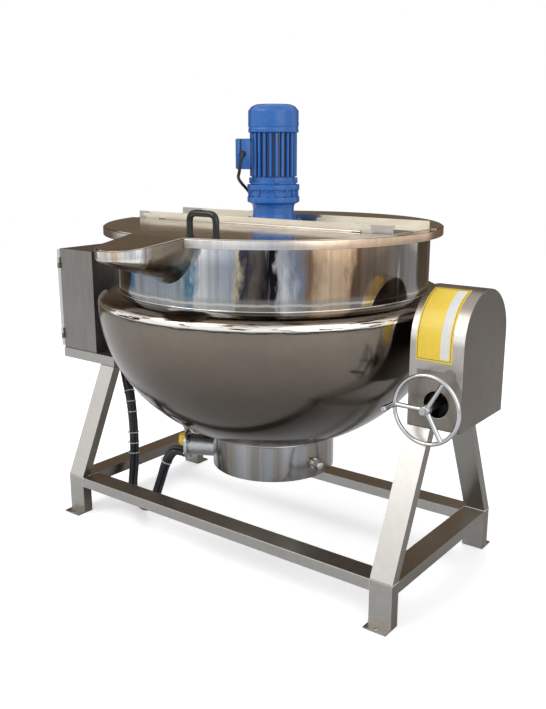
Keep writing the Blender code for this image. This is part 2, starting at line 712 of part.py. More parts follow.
def door():
    """The door on the box's outer side, its lock, knob and push buttons."""
    shelf_top = LEG_TOP_LEFT + SHELF_HEIGHT + CLEARANCE
    hinge_x, hinge_y = door_hinge_line()
    body("box_door", (hinge_x, hinge_y, shelf_top + BOX_HEIGHT / 2), "stand")
    middle = shelf_top + BOX_HEIGHT / 2
    door_x = -SHELF_OUTER_X - CLEARANCE - DOOR_THICKNESS / 2
    panel = box((DOOR_THICKNESS, 2 * BOX_HALF_DEPTH, BOX_HEIGHT - 2 * DOOR_EDGE))
    attach(panel, "control_box_door", "box_door", "box grey", (door_x, 0, middle))
    hollow_height = BOX_HEIGHT - 2 * (DOOR_EDGE + DOOR_RETURN)
    hollow = box((DOOR_THICKNESS, 2 * (BOX_HALF_DEPTH - DOOR_RETURN), hollow_height))
    attach(hollow, "door_hollow", "box_door", at=(door_x + SHEET, 0, middle))
    combine(panel, hollow)
    relief_width = 2 * (HINGE_RADIUS + CLEARANCE)
    relief = box((relief_width, relief_width, HINGE_KNUCKLE + 2 * CLEARANCE))
    hinge_places = (("lower", shelf_top + HINGE_INSET), ("upper", shelf_top + BOX_HEIGHT - HINGE_INSET))
    for place, height in hinge_places:
        gap = relief.copy()
        gap.data = relief.data.copy()
        attach(gap, f"door_relief_{place}", "box_door",
               at=(hinge_x + HINGE_RADIUS / 2, hinge_y + HINGE_RADIUS / 2, height - HINGE_KNUCKLE / 2))
        combine(panel, gap)
        knuckle = cylinder(HINGE_RADIUS, HINGE_KNUCKLE, steps=SMALL_STEPS)
        knuckle_z = height + CLEARANCE + HINGE_KNUCKLE / 2
        attach(knuckle, f"door_knuckle_{place}", "box_door", at=(hinge_x, hinge_y, knuckle_z))
        combine(panel, knuckle, "UNION")
        strap = box((DOOR_THICKNESS / 2, 2 * HINGE_RADIUS, HINGE_STRAP))
        attach(strap, f"door_strap_{place}", "box_door",
               at=(hinge_x - HINGE_RADIUS / 2, hinge_y + HINGE_RADIUS - 2 * HINGE_SINK, knuckle_z))
        combine(panel, strap, "UNION")
        bore = cylinder(HINGE_PIN_RADIUS + CLEARANCE, 3 * HINGE_KNUCKLE, steps=SMALL_STEPS)
        attach(bore, f"door_bore_{place}", "box_door", at=(hinge_x, hinge_y, knuckle_z))
        combine(panel, bore)
    bpy.data.objects.remove(relief, do_unlink=True)

    face_x = -SHELF_OUTER_X - CLEARANCE - DOOR_THICKNESS
    latch_y = BOX_HALF_DEPTH - DOOR_RETURN - LATCH_BAR[2] / 2 - 2 * SHEET
    latch = control(panel, "door_latch", "latch", "zinc", face_x, latch_y, middle, LATCH_RADIUS, LATCH_HEAD)
    bar = box(LATCH_BAR)
    attach(bar, "latch_bar", "latch",
           at=(face_x + SHEET + CLEARANCE + LATCH_BAR[0] / 2, latch_y, middle))
    combine(latch, bar, "UNION")
    control(panel, "temperature_knob", "knob", "black plastic", face_x, 0,
            shelf_top + BOX_HEIGHT * KNOB_HEIGHT_SHARE, KNOB_RADIUS, KNOB_DEPTH)
    button_z = shelf_top + BOX_HEIGHT * BUTTON_HEIGHT_SHARE
    for name, carrier, side, colour in (("start_button", "start", -1, "green plastic"),
                                        ("stop_button", "stop", 1, "red plastic")):
        control(panel, name, carrier, colour, face_x - BUTTON_TRAVEL, side * BUTTON_SPACING / 2,
                button_z, BUTTON_RADIUS, BUTTON_DEPTH - BUTTON_TRAVEL)


def control(panel, name, carrier, colour, face_x, y, z, radius, depth):
    """A round control on a stem through the door, on a body of its own."""
    body(carrier, (face_x, y, z), "box_door")
    head = cylinder(radius, depth, axis="X", steps=SMALL_STEPS)
    attach(head, name, carrier, colour, (face_x - CLEARANCE - depth / 2, y, z))
    stem = cylinder(STEM_RADIUS, STEM_DEPTH + depth / 2, axis="X", steps=SMALL_STEPS)
    attach(stem, name + "_stem", carrier, at=(face_x + STEM_DEPTH / 2 - depth / 4, y, z))
    combine(head, stem, "UNION")
    hole = cylinder(STEM_RADIUS + CLEARANCE, 2 * OVERRUN, axis="X", steps=SMALL_STEPS)
    attach(hole, name + "_hole", "box_door", at=(face_x + OVERRUN / 2, y, z))
    combine(panel, hole)
    return head


def bearing_block(name, x, width, bottom):
    """A pedestal with a bore on the tilt axis and a round crown."""
    foot = bottom - TILT_AXIS_HEIGHT
    outline = [(-BEARING_BLOCK_HALF_DEPTH, foot), (BEARING_BLOCK_HALF_DEPTH, foot)]
    outline += arc((0, 0), BEARING_CROWN, 0, math.pi, ARCH_STEPS)
    block = plate(outline, width, "YZ")
    attach(block, name, "stand", "cast", (x, 0, TILT_AXIS_HEIGHT))
    bore = cylinder(TRUNNION_RADIUS + BEARING_GAP, width + OVERRUN, axis="X")
    attach(bore, name + "_bore", "stand", at=(x, 0, TILT_AXIS_HEIGHT))
    combine(block, bore)


def worm_height():
    """The worm's axis height: a wheel and a worm pitch radius under the tilt axis."""
    return TILT_AXIS_HEIGHT - GEAR_MODULE * WHEEL_TEETH / 2 - WORM_PITCH_RADIUS


def arch(x_low, x_high, half_depth, bottom, radius_centre):
    """A solid with an arched top, running along X."""
    outline = [(-half_depth, bottom), (half_depth, bottom)]
    outline += arc((0, radius_centre), half_depth, 0, math.pi, ARCH_STEPS)
    item = plate(outline, x_high - x_low, "YZ")
    item.data.transform(Matrix.Translation(((x_low + x_high) / 2, 0, 0)))
    return item


def gear_cover():
    """The arched cover over the tilt drive."""
    cover = arch(HOUSING_INNER_X, HOUSING_OUTER_X, HOUSING_HALF_DEPTH, HOUSING_BOTTOM + CLEARANCE,
                 HOUSING_ARCH_CENTRE)
    attach(cover, "gear_housing", "stand", "housing")
    hollow = arch(HOUSING_INNER_X + HOUSING_WALL, HOUSING_OUTER_X - HOUSING_WALL,
                  HOUSING_HALF_DEPTH - HOUSING_WALL, HOUSING_BOTTOM - OVERRUN, HOUSING_ARCH_CENTRE)
    attach(hollow, "gear_housing_inside", "stand")
    combine(cover, hollow)
    shaft_hole = cylinder(HOUSING_SHAFT_HOLE, OVERRUN, axis="X")
    attach(shaft_hole, "gear_housing_shaft_hole", "stand", at=(HOUSING_INNER_X, 0, TILT_AXIS_HEIGHT))
    combine(cover, shaft_hole)
    cutout = cylinder(HOUSING_CUTOUT_RADIUS, OVERRUN, axis="Y")
    attach(cutout, "gear_housing_cutout", "stand", at=(WORM_X, -HOUSING_HALF_DEPTH, worm_height()))
    combine(cover, cutout)


def worm_bracket():
    """The plate with two ears that hold the worm, and the right bearing on it."""
    plate_low = HOUSING_BOTTOM + CLEARANCE
    plate_high = plate_low + BRACKET_PLATE
    inner_width = HOUSING_OUTER_X - HOUSING_INNER_X - 2 * (HOUSING_WALL + CLEARANCE)
    centre_x = (HOUSING_INNER_X + HOUSING_OUTER_X) / 2
    base = box((inner_width, 2 * (HOUSING_HALF_DEPTH - HOUSING_WALL - CLEARANCE), BRACKET_PLATE))
    attach(base, "worm_bracket", "stand", "cast", (centre_x, 0, (plate_low + plate_high) / 2))
    for place, side in (("front", -1), ("rear", 1)):
        outline = [(-WORM_BEARING_HALF_WIDTH, plate_low - worm_height() + BRACKET_PLATE / 2),
                   (WORM_BEARING_HALF_WIDTH, plate_low - worm_height() + BRACKET_PLATE / 2)]
        outline += arc((0, 0), WORM_BEARING_HALF_WIDTH * WORM_EAR_SHARE, 0, math.pi, ARCH_STEPS // 2)
        ear = plate(outline, WORM_BEARING_DEPTH)
        ear.data.transform(Matrix.Rotation(math.pi / 2, 4, "X"))
        attach(ear, f"worm_bearing_{place}", "stand", at=(WORM_X, side * WORM_BEARING_Y, worm_height()))
        combine(base, ear, "UNION")
    bore = cylinder(WORM_SHAFT_RADIUS + BEARING_GAP, 4 * WORM_BEARING_Y, axis="Y", steps=SMALL_STEPS)
    attach(bore, "worm_bearing_bore", "stand", at=(WORM_X, 0, worm_height()))
    combine(base, bore)
    bearing_block("bearing_right", RIGHT_BEARING_INNER_X + RIGHT_BEARING_WIDTH / 2,
                  RIGHT_BEARING_WIDTH, plate_high + CLEARANCE)


def worm_mesh():
    """The worm along Y: a grid round its axis with one thread rising from it."""
    pitch = math.pi * GEAR_MODULE
    root = WORM_PITCH_RADIUS - TOOTH_ROOT_SHARE * GEAR_MODULE
    tip = WORM_PITCH_RADIUS + TOOTH_TIP_SHARE * GEAR_MODULE
    rows = int(WORM_LENGTH / pitch * WORM_ROWS_PER_PITCH)
    work = bmesh.new()
    rings = []
    for i in range(rows + 1):
        along = -WORM_LENGTH / 2 + WORM_LENGTH * i / rows
        ring = []
        for j in range(SMALL_STEPS):
            turn = 2 * math.pi * j / SMALL_STEPS
            phase = (along / pitch - turn / (2 * math.pi) + 0.5) % 1 - 0.5
            rise = max(0, min(1, (TOOTH_SHARE / 2 + THREAD_FOOT_SHARE - abs(phase)) / THREAD_FLANK_SHARE))
            radius = root + (tip - root) * rise
            if i in (0, rows):
                radius = root
            ring.append(work.verts.new((radius * math.sin(turn), along, radius * math.cos(turn))))
        rings.append(ring)
    for low, high in zip(rings, rings[1:]):
        for j in range(SMALL_STEPS):
            k = (j + 1) % SMALL_STEPS
            work.faces.new((low[j], low[k], high[k], high[j]))
    work.faces.new(rings[0])
    work.faces.new(reversed(rings[-1]))
    return from_bmesh(work)


def grip_place():
    """Where the grip's pin stands in X and Z."""
    return (WORM_X + HANDWHEEL_RADIUS * math.cos(HANDWHEEL_SPOKE_TURN),
            worm_height() + HANDWHEEL_RADIUS * math.sin(HANDWHEEL_SPOKE_TURN))


def worm_shaft():
    """The worm on its shaft, with the thinner tail that carries the handwheel."""
    height = worm_height()
    body("worm", (WORM_X, HANDWHEEL_Y, height), "stand")
    screw = worm_mesh()
    attach(screw, "worm_shaft", "worm", "steel", (WORM_X, 0, height))
    rear_end = WORM_BEARING_Y + WORM_BEARING_DEPTH
    front_end = HANDWHEEL_Y - HANDWHEEL_HUB_LENGTH / 2 - NUT_LENGTH
    shaft = cylinder(WORM_SHAFT_RADIUS, rear_end - HANDWHEEL_Y - HANDWHEEL_HUB_LENGTH / 2 - CLEARANCE,
                     axis="Y", steps=SMALL_STEPS)
    shaft_front = HANDWHEEL_Y + HANDWHEEL_HUB_LENGTH / 2 + CLEARANCE
    attach(shaft, "worm_journal", "worm", at=(WORM_X, (rear_end + shaft_front) / 2, height))
    combine(screw, shaft, "UNION")
    tail = cylinder(WORM_SHAFT_RADIUS * WORM_TAIL_SHARE, rear_end - front_end, axis="Y", steps=SMALL_STEPS)
    attach(tail, "worm_tail", "worm", at=(WORM_X, (rear_end + front_end) / 2, height))
    combine(screw, tail, "UNION")


def handwheel():
    """The ring, hub and spokes of the handwheel with the grip's pin."""
    height = worm_height()
    ring = tube([(x, 0, z) for x, z in arc((0, 0), HANDWHEEL_RADIUS, 0, 2 * math.pi, 32)[:-1]],
                HANDWHEEL_TUBE, 2, True)
    attach(ring, "handwheel", "worm", "chrome", (WORM_X, HANDWHEEL_Y, height))
    hub = cylinder(HANDWHEEL_HUB_RADIUS, HANDWHEEL_HUB_LENGTH, axis="Y", steps=SMALL_STEPS)
    attach(hub, "handwheel_hub", "worm", at=(WORM_X, HANDWHEEL_Y, height))
    for i in range(3):
        angle = HANDWHEEL_SPOKE_TURN + 2 * math.pi * i / 3
        root = HANDWHEEL_HUB_RADIUS * SPOKE_ROOT_SHARE
        spoke = cylinder(HANDWHEEL_SPOKE_RADIUS, HANDWHEEL_RADIUS - root, steps=SMALL_STEPS // 2)
        spoke.data.transform(Matrix.Rotation(math.pi / 2 - angle, 4, "Y")
                             @ Matrix.Translation((0, 0, (HANDWHEEL_RADIUS + root) / 2)))
        attach(spoke, f"handwheel_spoke_{i}", "worm", at=(WORM_X, HANDWHEEL_Y, height))
        combine(ring, spoke, "UNION")
    combine(ring, hub, "UNION")
    grip_x, grip_z = grip_place()
    pin = cylinder(GRIP_PIN_RADIUS, GRIP_LENGTH + HANDWHEEL_TUBE, axis="Y", steps=SMALL_STEPS)
    attach(pin, "handwheel_grip_pin", "worm",
           at=(grip_x, HANDWHEEL_Y - (GRIP_LENGTH + HANDWHEEL_TUBE) / 2, grip_z))
    combine(ring, pin, "UNION")
    bore = cylinder(WORM_SHAFT_RADIUS * WORM_TAIL_SHARE + HANDWHEEL_BORE_GAP,
                    HANDWHEEL_HUB_LENGTH + OVERRUN, axis="Y", steps=SMALL_STEPS)
    attach(bore, "handwheel_bore", "worm", at=(WORM_X, HANDWHEEL_Y, height))
    combine(ring, bore)


def handwheel_nut():
    """The hexagon nut in front of the hub."""
    height = worm_height()
    nut = cylinder(NUT_RADIUS, NUT_LENGTH, axis="Y", steps=6)
    nut_y = HANDWHEEL_Y - HANDWHEEL_HUB_LENGTH / 2 - CLEARANCE - NUT_LENGTH / 2
    attach(nut, "handwheel_nut", "worm", "zinc", (WORM_X, nut_y, height))
    nut_bore = cylinder(WORM_SHAFT_RADIUS * WORM_TAIL_SHARE + HANDWHEEL_BORE_GAP, NUT_LENGTH + OVERRUN,
                        axis="Y", steps=SMALL_STEPS)
    attach(nut_bore, "handwheel_nut_bore", "worm", at=(WORM_X, nut_y, height))
    combine(nut, nut_bore)


def handwheel_grip():
    """The grip that turns freely on its pin."""
    grip_x, grip_z = grip_place()
    body("grip", (grip_x, HANDWHEEL_Y, grip_z), "worm")
    grip_y = HANDWHEEL_Y - HANDWHEEL_TUBE - CLEARANCE - GRIP_LENGTH / 2
    grip = cylinder(GRIP_RADIUS * GRIP_ROOT_SHARE, GRIP_LENGTH, axis="Y", steps=SMALL_STEPS, top=GRIP_RADIUS)
    attach(grip, "handwheel_grip", "grip", "chrome", (grip_x, grip_y, grip_z))
    grip_bore = cylinder(GRIP_PIN_RADIUS + CLEARANCE, GRIP_LENGTH + OVERRUN, axis="Y", steps=SMALL_STEPS)
    attach(grip_bore, "handwheel_grip_bore", "grip", at=(grip_x, grip_y, grip_z))
    combine(grip, grip_bore)


def dish(radius, top, depth, steps, stop=0):
    """Points of a half ellipse from its widest ring down to radius `stop`."""
    last = math.acos(stop / radius)
    return [(radius * math.cos(last * i / steps), top - depth * math.sin(last * i / steps))
            for i in range(steps + 1)]


def bowl():
    """The inner bowl, open to the spout."""
    centre = (KETTLE_X, 0, 0)
    outer = BOWL_RADIUS + BOWL_WALL
    inside = dish(BOWL_RADIUS, DISH_TOP, DISH_DEPTH, DISH_STEPS)
    outside = dish(outer, DISH_TOP, DISH_DEPTH + BOWL_WALL, DISH_STEPS)
    profile = inside[::-1] + [(BOWL_RADIUS, RIM_TOP), (outer, RIM_TOP)] + outside
    shell = turned(profile)
    attach(shell, "inner_bowl", "kettle", "mirror", centre)
    mouth = spout_solid(-SPOUT_MOUTH_MARGIN)
    attach(mouth, "spout_mouth", "kettle", at=centre)
    combine(shell, mouth)


def jacket():
    """The jacket round the bowl, shoulder and bottom in one sheet."""
    gap = BOWL_RADIUS + BOWL_WALL + CLEARANCE
    roll = [(gap + (JACKET_RADIUS - gap) * math.sin(math.pi / 2 * i / SHOULDER_STEPS),
             DISH_TOP + SHOULDER_RISE * math.cos(math.pi / 2 * i / SHOULDER_STEPS))
            for i in range(SHOULDER_STEPS)]
    sides = dish(JACKET_RADIUS, DISH_TOP, JACKET_DEPTH, JACKET_STEPS, SUMP_RADIUS)
    inner_radius = JACKET_RADIUS - JACKET_WALL
    inner_roll = [(gap + (inner_radius - gap) * math.sin(math.pi / 2 * i / SHOULDER_STEPS),
                   DISH_TOP + (SHOULDER_RISE - JACKET_WALL) * math.cos(math.pi / 2 * i / SHOULDER_STEPS))
                  for i in range(SHOULDER_STEPS)]
    inner_sides = dish(inner_radius, DISH_TOP, JACKET_DEPTH - JACKET_WALL, JACKET_STEPS,
                       SUMP_RADIUS - JACKET_WALL)
    shell = turned(roll + sides + inner_sides[::-1] + inner_roll[::-1], closed=True)
    attach(shell, "jacket_shell", "kettle", "polished", (KETTLE_X, 0, 0))


def rim():
    """The flat rim with its turned-down lip, cut open for the spout."""
    centre = (KETTLE_X, 0, 0)
    gap = BOWL_RADIUS + BOWL_WALL + CLEARANCE
    lip = [(RIM_RADIUS, RIM_TOP), (RIM_RADIUS, RIM_TOP - RIM_LIP), (RIM_RADIUS - SHEET, RIM_TOP - RIM_LIP),
           (RIM_RADIUS - SHEET, RIM_TOP - SHEET), (gap, RIM_TOP - SHEET), (gap, RIM_TOP)]
    band = turned(lip, closed=True)
    attach(band, "rim_band", "kettle", "polished", centre)
    notch = spout_solid(SPOUT_WALL + CLEARANCE)
    attach(notch, "rim_notch", "kettle", at=centre)
    combine(band, notch)


def spout_top(reach):
    """The height of the spout's top edge at a distance from the kettle's centre."""
    slope = SPOUT_DROP / (SPOUT_REACH - SPOUT_CHORD)
    return RIM_TOP - max(0, reach - SPOUT_CHORD) * slope


def spout_half_width(reach):
    """The spout's half width: straight cheeks, then a round nose."""
    nose = SPOUT_REACH - SPOUT_TIP_HALF_WIDTH
    if reach <= nose:
        share = max(0, (reach - SPOUT_CHORD) / (nose - SPOUT_CHORD))
        return SPOUT_ROOT_HALF_WIDTH + (SPOUT_TIP_HALF_WIDTH - SPOUT_ROOT_HALF_WIDTH) * share
    return math.sqrt(max(0, SPOUT_TIP_HALF_WIDTH ** 2 - (reach - nose) ** 2))


def spout_rows(first):
    """Distances from the centre of the rows that make the spout."""
    nose = SPOUT_REACH - SPOUT_TIP_HALF_WIDTH
    straight = SPOUT_ROWS // 2
    rows = [first + (nose - first) * i / straight for i in range(straight)]
    turn = SPOUT_ROWS - straight
    rows += [nose + SPOUT_TIP_HALF_WIDTH * math.sin(math.pi / 2 * i / turn) for i in range(turn + 1)]
    return rows


def spout_section(reach, grow=0):
    """One U-shaped section of the spout, `grow` wider and deeper all round."""
    share = min(1, max(0, (reach - BOWL_RADIUS) / (SPOUT_REACH - BOWL_RADIUS)))
    depth = SPOUT_ROOT_DEPTH + (SPOUT_TIP_DEPTH - SPOUT_ROOT_DEPTH) * share + grow
    power = 1 / (1 + SPOUT_SQUARE_SHARE * share ** 2)
    width = spout_half_width(reach)
    width = max(0, width + grow) if width > grow * POINTED_SHARE else 0
    points = []
    for i in range(SPOUT_COLUMNS + 1):
        angle = math.pi * i / SPOUT_COLUMNS
        across = math.copysign(abs(math.cos(angle)) ** power, math.cos(angle))
        down = abs(math.sin(angle)) ** power if 0 < i < SPOUT_COLUMNS else 0
        points.append((-width * across, -reach, spout_top(reach) - depth * down))
    return points


def spout_solid(grow):
    """The spout's own volume from inside the bowl to past the rim, for cutting."""
    start_reach = BOWL_RADIUS * MOUTH_START_SHARE
    end_reach = RIM_RADIUS + OVERRUN
    work = bmesh.new()
    ends = []
    for reach in (start_reach, end_reach):
        root = spout_section(BOWL_RADIUS, grow)
        root = [root[0]] + root + [root[-1]]
        lift = [OVERRUN] + [0] * (len(root) - 2) + [OVERRUN]
        ends.append([work.verts.new((x, -reach, z + up)) for (x, _, z), up in zip(root, lift)])
    count = len(ends[0])
    for i in range(count):
        k = (i + 1) % count
        work.faces.new((ends[0][i], ends[0][k], ends[1][k], ends[1][i]))
    work.faces.new(ends[0])
    work.faces.new(reversed(ends[1]))
    return from_bmesh(work)


def spout():
    """The open pouring spout, welded to the bowl's wall."""
    rows = spout_rows(BOWL_RADIUS * SPOUT_START_SHARE)
    work = bmesh.new()
    grid = [[work.verts.new(point) for point in spout_section(reach)] for reach in rows]
    for low, high in zip(grid, grid[1:]):
        for i in range(SPOUT_COLUMNS):
            work.faces.new((low[i], low[i + 1], high[i + 1], high[i]))
    bmesh.ops.remove_doubles(work, verts=grid[-1], dist=0.00001)
    item = from_bmesh(work)
    attach(item, "pouring_spout", "kettle", "polished", (KETTLE_X, 0, 0))
    thick = item.modifiers.new("sheet", "SOLIDIFY")
    thick.thickness = SPOUT_WALL
    thick.offset = 1
    inner_cut = cylinder(BOWL_RADIUS + BOWL_WALL + CLEARANCE, 2 * BOWL_RADIUS, steps=2 * BIG_STEPS)
    attach(inner_cut, "spout_root_cut", "kettle", at=(KETTLE_X, 0, RIM_TOP - BOWL_RADIUS / 2))
    combine(item, inner_cut)


def radial(angle, reach, height):
    """A place at an angle and a distance from the kettle's own axis."""
    return (KETTLE_X + reach * math.cos(angle), reach * math.sin(angle), height)


def sump():
    """The heater housing under the jacket, with its holes and its floor."""
    top = DISH_TOP - JACKET_DEPTH * math.sin(math.acos(SUMP_RADIUS / JACKET_RADIUS))
    outer = SUMP_RADIUS
    wall_top = top - CLEARANCE - JACKET_WALL
    housing = turned([(outer, wall_top), (outer, SUMP_BOTTOM), (outer - SUMP_WALL, SUMP_BOTTOM),
                      (outer - SUMP_WALL, wall_top)], closed=True)
    attach(housing, "heater_housing", "kettle", "polished", (KETTLE_X, 0, 0))
    floor_radius = outer - SUMP_WALL - CLEARANCE
    floor = cylinder(floor_radius, SUMP_FLOOR, steps=BIG_STEPS)
    attach(floor, "heater_base_plate", "kettle", "stainless", (KETTLE_X, 0, SUMP_BOTTOM + SUMP_FLOOR / 2))

    hole = cylinder(PORT_RADIUS + CLEARANCE, 2 * OVERRUN + SUMP_WALL)
    attach(hole, "port_hole", "kettle", at=radial(PORT_ANGLE, outer, PORT_HEIGHT),
           turn=(0, math.pi / 2, PORT_ANGLE))
    combine(housing, hole)
    drain_hole = cylinder(DRAIN_RADIUS + CLEARANCE, 2 * OVERRUN, steps=SMALL_STEPS)
    attach(drain_hole, "drain_hole", "kettle", at=radial(DRAIN_ANGLE, outer, DRAIN_HEIGHT),
           turn=(0, math.pi / 2, DRAIN_ANGLE))
    combine(housing, drain_hole)


def heater_port():
    """The port through which the heating element goes in, with its cap and gland."""
    turn = (0, math.pi / 2, PORT_ANGLE)
    port_inner = SUMP_RADIUS - SUMP_WALL
    port = cylinder(PORT_RADIUS, PORT_REACH - port_inner)
    attach(port, "heater_port", "kettle", "zinc",
           radial(PORT_ANGLE, (PORT_REACH + port_inner) / 2, PORT_HEIGHT), turn)
    ring = cylinder(PORT_FLANGE_RADIUS, PORT_FLANGE)
    attach(ring, "heater_port_flange", "kettle",
           at=radial(PORT_ANGLE, PORT_REACH - PORT_FLANGE / 2, PORT_HEIGHT), turn=turn)
    combine(port, ring, "UNION")
    bore = cylinder(PORT_RADIUS - PORT_WALL, PORT_REACH)
    attach(bore, "heater_port_bore", "kettle",
           at=radial(PORT_ANGLE, PORT_REACH - PORT_FLANGE - PORT_REACH / 2, PORT_HEIGHT), turn=turn)
    combine(port, bore)
    cap_reach = PORT_REACH + CLEARANCE + CAP_LENGTH / 2
    cap = cylinder(CAP_RADIUS, CAP_LENGTH, top=CAP_RADIUS * CAP_TOP_SHARE)
    attach(cap, "heater_cap", "kettle", "yellow plastic",
           radial(PORT_ANGLE, cap_reach, PORT_HEIGHT + CAP_LIFT), turn)
    gland = cylinder(PORT_GLAND_RADIUS, PORT_GLAND_LENGTH, steps=SMALL_STEPS)
    attach(gland, "heater_gland", "kettle", "black plastic",
           radial(PORT_ANGLE, PORT_REACH + CLEARANCE + PORT_GLAND_LENGTH / 2,
                  PORT_HEIGHT - PORT_GLAND_DROP), turn)


def heating_element():
    """The loop of heating element inside the housing."""
    inward = -(PORT_REACH - PORT_FLANGE - CLEARANCE)
    loop = [(inward, -ELEMENT_HALF_WIDTH, 0), (ELEMENT_REACH - ELEMENT_HALF_WIDTH, -ELEMENT_HALF_WIDTH, 0)]
    loop += [(x, y, 0) for x, y in arc((ELEMENT_REACH - ELEMENT_HALF_WIDTH, 0), ELEMENT_HALF_WIDTH,
                                      -math.pi / 2, math.pi / 2, 6)[1:]]
    loop.append((inward, ELEMENT_HALF_WIDTH, 0))
    element = tube(loop, ELEMENT_RADIUS, 2)
    attach(element, "heating_element", "kettle", "steel", (KETTLE_X, 0, PORT_HEIGHT),
           (0, 0, PORT_ANGLE + math.pi))


def drain():
    """The drain's stub and the hexagon cap over it."""
    drain_turn = (0, math.pi / 2, DRAIN_ANGLE)
    inner = SUMP_RADIUS - SUMP_WALL
    pipe_length = DRAIN_LENGTH + SUMP_WALL
    pipe = cylinder(DRAIN_RADIUS, pipe_length, steps=SMALL_STEPS)
    attach(pipe, "drain_pipe", "kettle", "zinc", radial(DRAIN_ANGLE, inner + pipe_length / 2, DRAIN_HEIGHT),
           drain_turn)
    cap_start = SUMP_RADIUS + DRAIN_LENGTH * DRAIN_CAP_START_SHARE
    plug = cylinder(DRAIN_CAP_RADIUS, DRAIN_CAP_LENGTH, steps=6)
    attach(plug, "drain_plug", "kettle", "zinc",
           radial(DRAIN_ANGLE, cap_start + DRAIN_CAP_LENGTH / 2, DRAIN_HEIGHT), drain_turn)
    socket = cylinder(DRAIN_RADIUS + CLEARANCE, DRAIN_LENGTH, steps=SMALL_STEPS)
    attach(socket, "drain_socket", "kettle",
           at=radial(DRAIN_ANGLE, SUMP_RADIUS + DRAIN_LENGTH / 2 + CLEARANCE, DRAIN_HEIGHT), turn=drain_turn)
    combine(plug, socket)


def trunnions():
    """The two trunnion shafts on their pads, shaped to the jacket."""
    axis = TILT_AXIS_HEIGHT
    drop = (DISH_TOP - axis) / JACKET_DEPTH
    jacket_at_axis = JACKET_RADIUS * math.sqrt(1 - drop ** 2)
    reach = JACKET_RADIUS + CLEARANCE
    crown = DISH_TOP + SHOULDER_RISE + OVERRUN
    sides = dish(reach, DISH_TOP, JACKET_DEPTH + CLEARANCE, 2 * JACKET_STEPS, SUMP_RADIUS)
    envelope = turned([(0, crown), (reach, crown)] + sides + [(0, sides[-1][1])], 2 * BIG_STEPS)
    attach(envelope, "jacket_envelope", "kettle", at=(KETTLE_X, 0, 0))
    for name, side, end in (("trunnion_left", -1, LEFT_SHAFT_END), ("trunnion_right", 1, RIGHT_SHAFT_END)):
        root = KETTLE_X + side * jacket_at_axis * TRUNNION_ROOT_SHARE
        tip = side * end
        shaft = cylinder(TRUNNION_RADIUS, abs(tip - root), axis="X")
        attach(shaft, name, "kettle", "steel", ((tip + root) / 2, 0, axis))
        pad_x = KETTLE_X + side * (jacket_at_axis + TRUNNION_PLATE / 2)
        pad = cylinder(TRUNNION_PLATE_RADIUS, TRUNNION_PLATE + 2 * OVERRUN, axis="X")
        attach(pad, name + "_pad", "kettle", at=(pad_x - side * OVERRUN, 0, axis))
        combine(shaft, pad, "UNION")
        combine(shaft, envelope)


def worm_wheel():
    """The wheel on the right trunnion that the worm turns."""
    axis = TILT_AXIS_HEIGHT
    pitch_radius = GEAR_MODULE * WHEEL_TEETH / 2
    tip_radius = pitch_radius + TOOTH_TIP_SHARE * GEAR_MODULE
    root_radius = pitch_radius - TOOTH_ROOT_SHARE * GEAR_MODULE
    outline = []
    step = 2 * math.pi / WHEEL_TEETH
    foot_share = TOOTH_SHARE + WHEEL_FOOT_SHARE
    tip_share = TOOTH_SHARE - WHEEL_TIP_SHARE
    for i in range(WHEEL_TEETH):
        middle = -math.pi / 2 + step * (i + 0.5)
        for share, radius in ((-foot_share, root_radius), (-tip_share, tip_radius),
                              (tip_share, tip_radius), (foot_share, root_radius)):
            angle = middle + step * share / 2 * WHEEL_WIDEN_SHARE
            outline.append((radius * math.cos(angle), radius * math.sin(angle)))
    wheel = plate(outline, WHEEL_WIDTH, "YZ")
    attach(wheel, "worm_wheel", "kettle", "bronze", (WORM_X, 0, axis))
    bore = cylinder(TRUNNION_RADIUS + CLEARANCE, WHEEL_WIDTH + OVERRUN, axis="X")
    attach(bore, "worm_wheel_bore", "kettle", at=(WORM_X, 0, axis))
    combine(wheel, bore)


def beam():
    """The upturned channel across the rim, with the lugs of the lid's hinge."""
    web_low = RIM_TOP + CLEARANCE
    channel = box((2 * BEAM_HALF_LENGTH, 2 * BEAM_HALF_WIDTH, BEAM_HEIGHT))
    attach(channel, "mixer_beam", "kettle", "film", (KETTLE_X, 0, web_low + BEAM_HEIGHT / 2))
    trough = box((2 * (BEAM_HALF_LENGTH + OVERRUN), 2 * (BEAM_HALF_WIDTH - BEAM_SHEET), BEAM_HEIGHT))
    attach(trough, "beam_trough", "kettle", at=(KETTLE_X, 0, web_low + BEAM_HEIGHT / 2 + BEAM_SHEET))
    combine(channel, trough)
    hole = cylinder(AGITATOR_SHAFT_RADIUS + AGITATOR_BORE_GAP + CLEARANCE, OVERRUN)
    attach(hole, "beam_shaft_hole", "kettle", at=(KETTLE_X, 0, web_low))
    combine(channel, hole)
    for place, side in (("left", -1), ("right", 1)):
        lug = box((LID_HINGE_LUG, LID_HINGE_LUG, LID_HINGE_LUG))
        attach(lug, f"hinge_lug_{place}", "kettle",
               at=(KETTLE_X + side * (LID_HINGE_HALF_LENGTH - LID_HINGE_LUG / 2 - OVERRUN / 2),
                   lid_hinge_y() + SHEET, lid_hinge_height()))
        combine(channel, lug, "UNION")
    pin_bore = cylinder(LID_HINGE_BORE, 2 * BEAM_HALF_LENGTH, axis="X", steps=SMALL_STEPS)
    attach(pin_bore, "hinge_lug_bore", "kettle", at=(KETTLE_X, lid_hinge_y(), lid_hinge_height()))
    combine(channel, pin_bore)


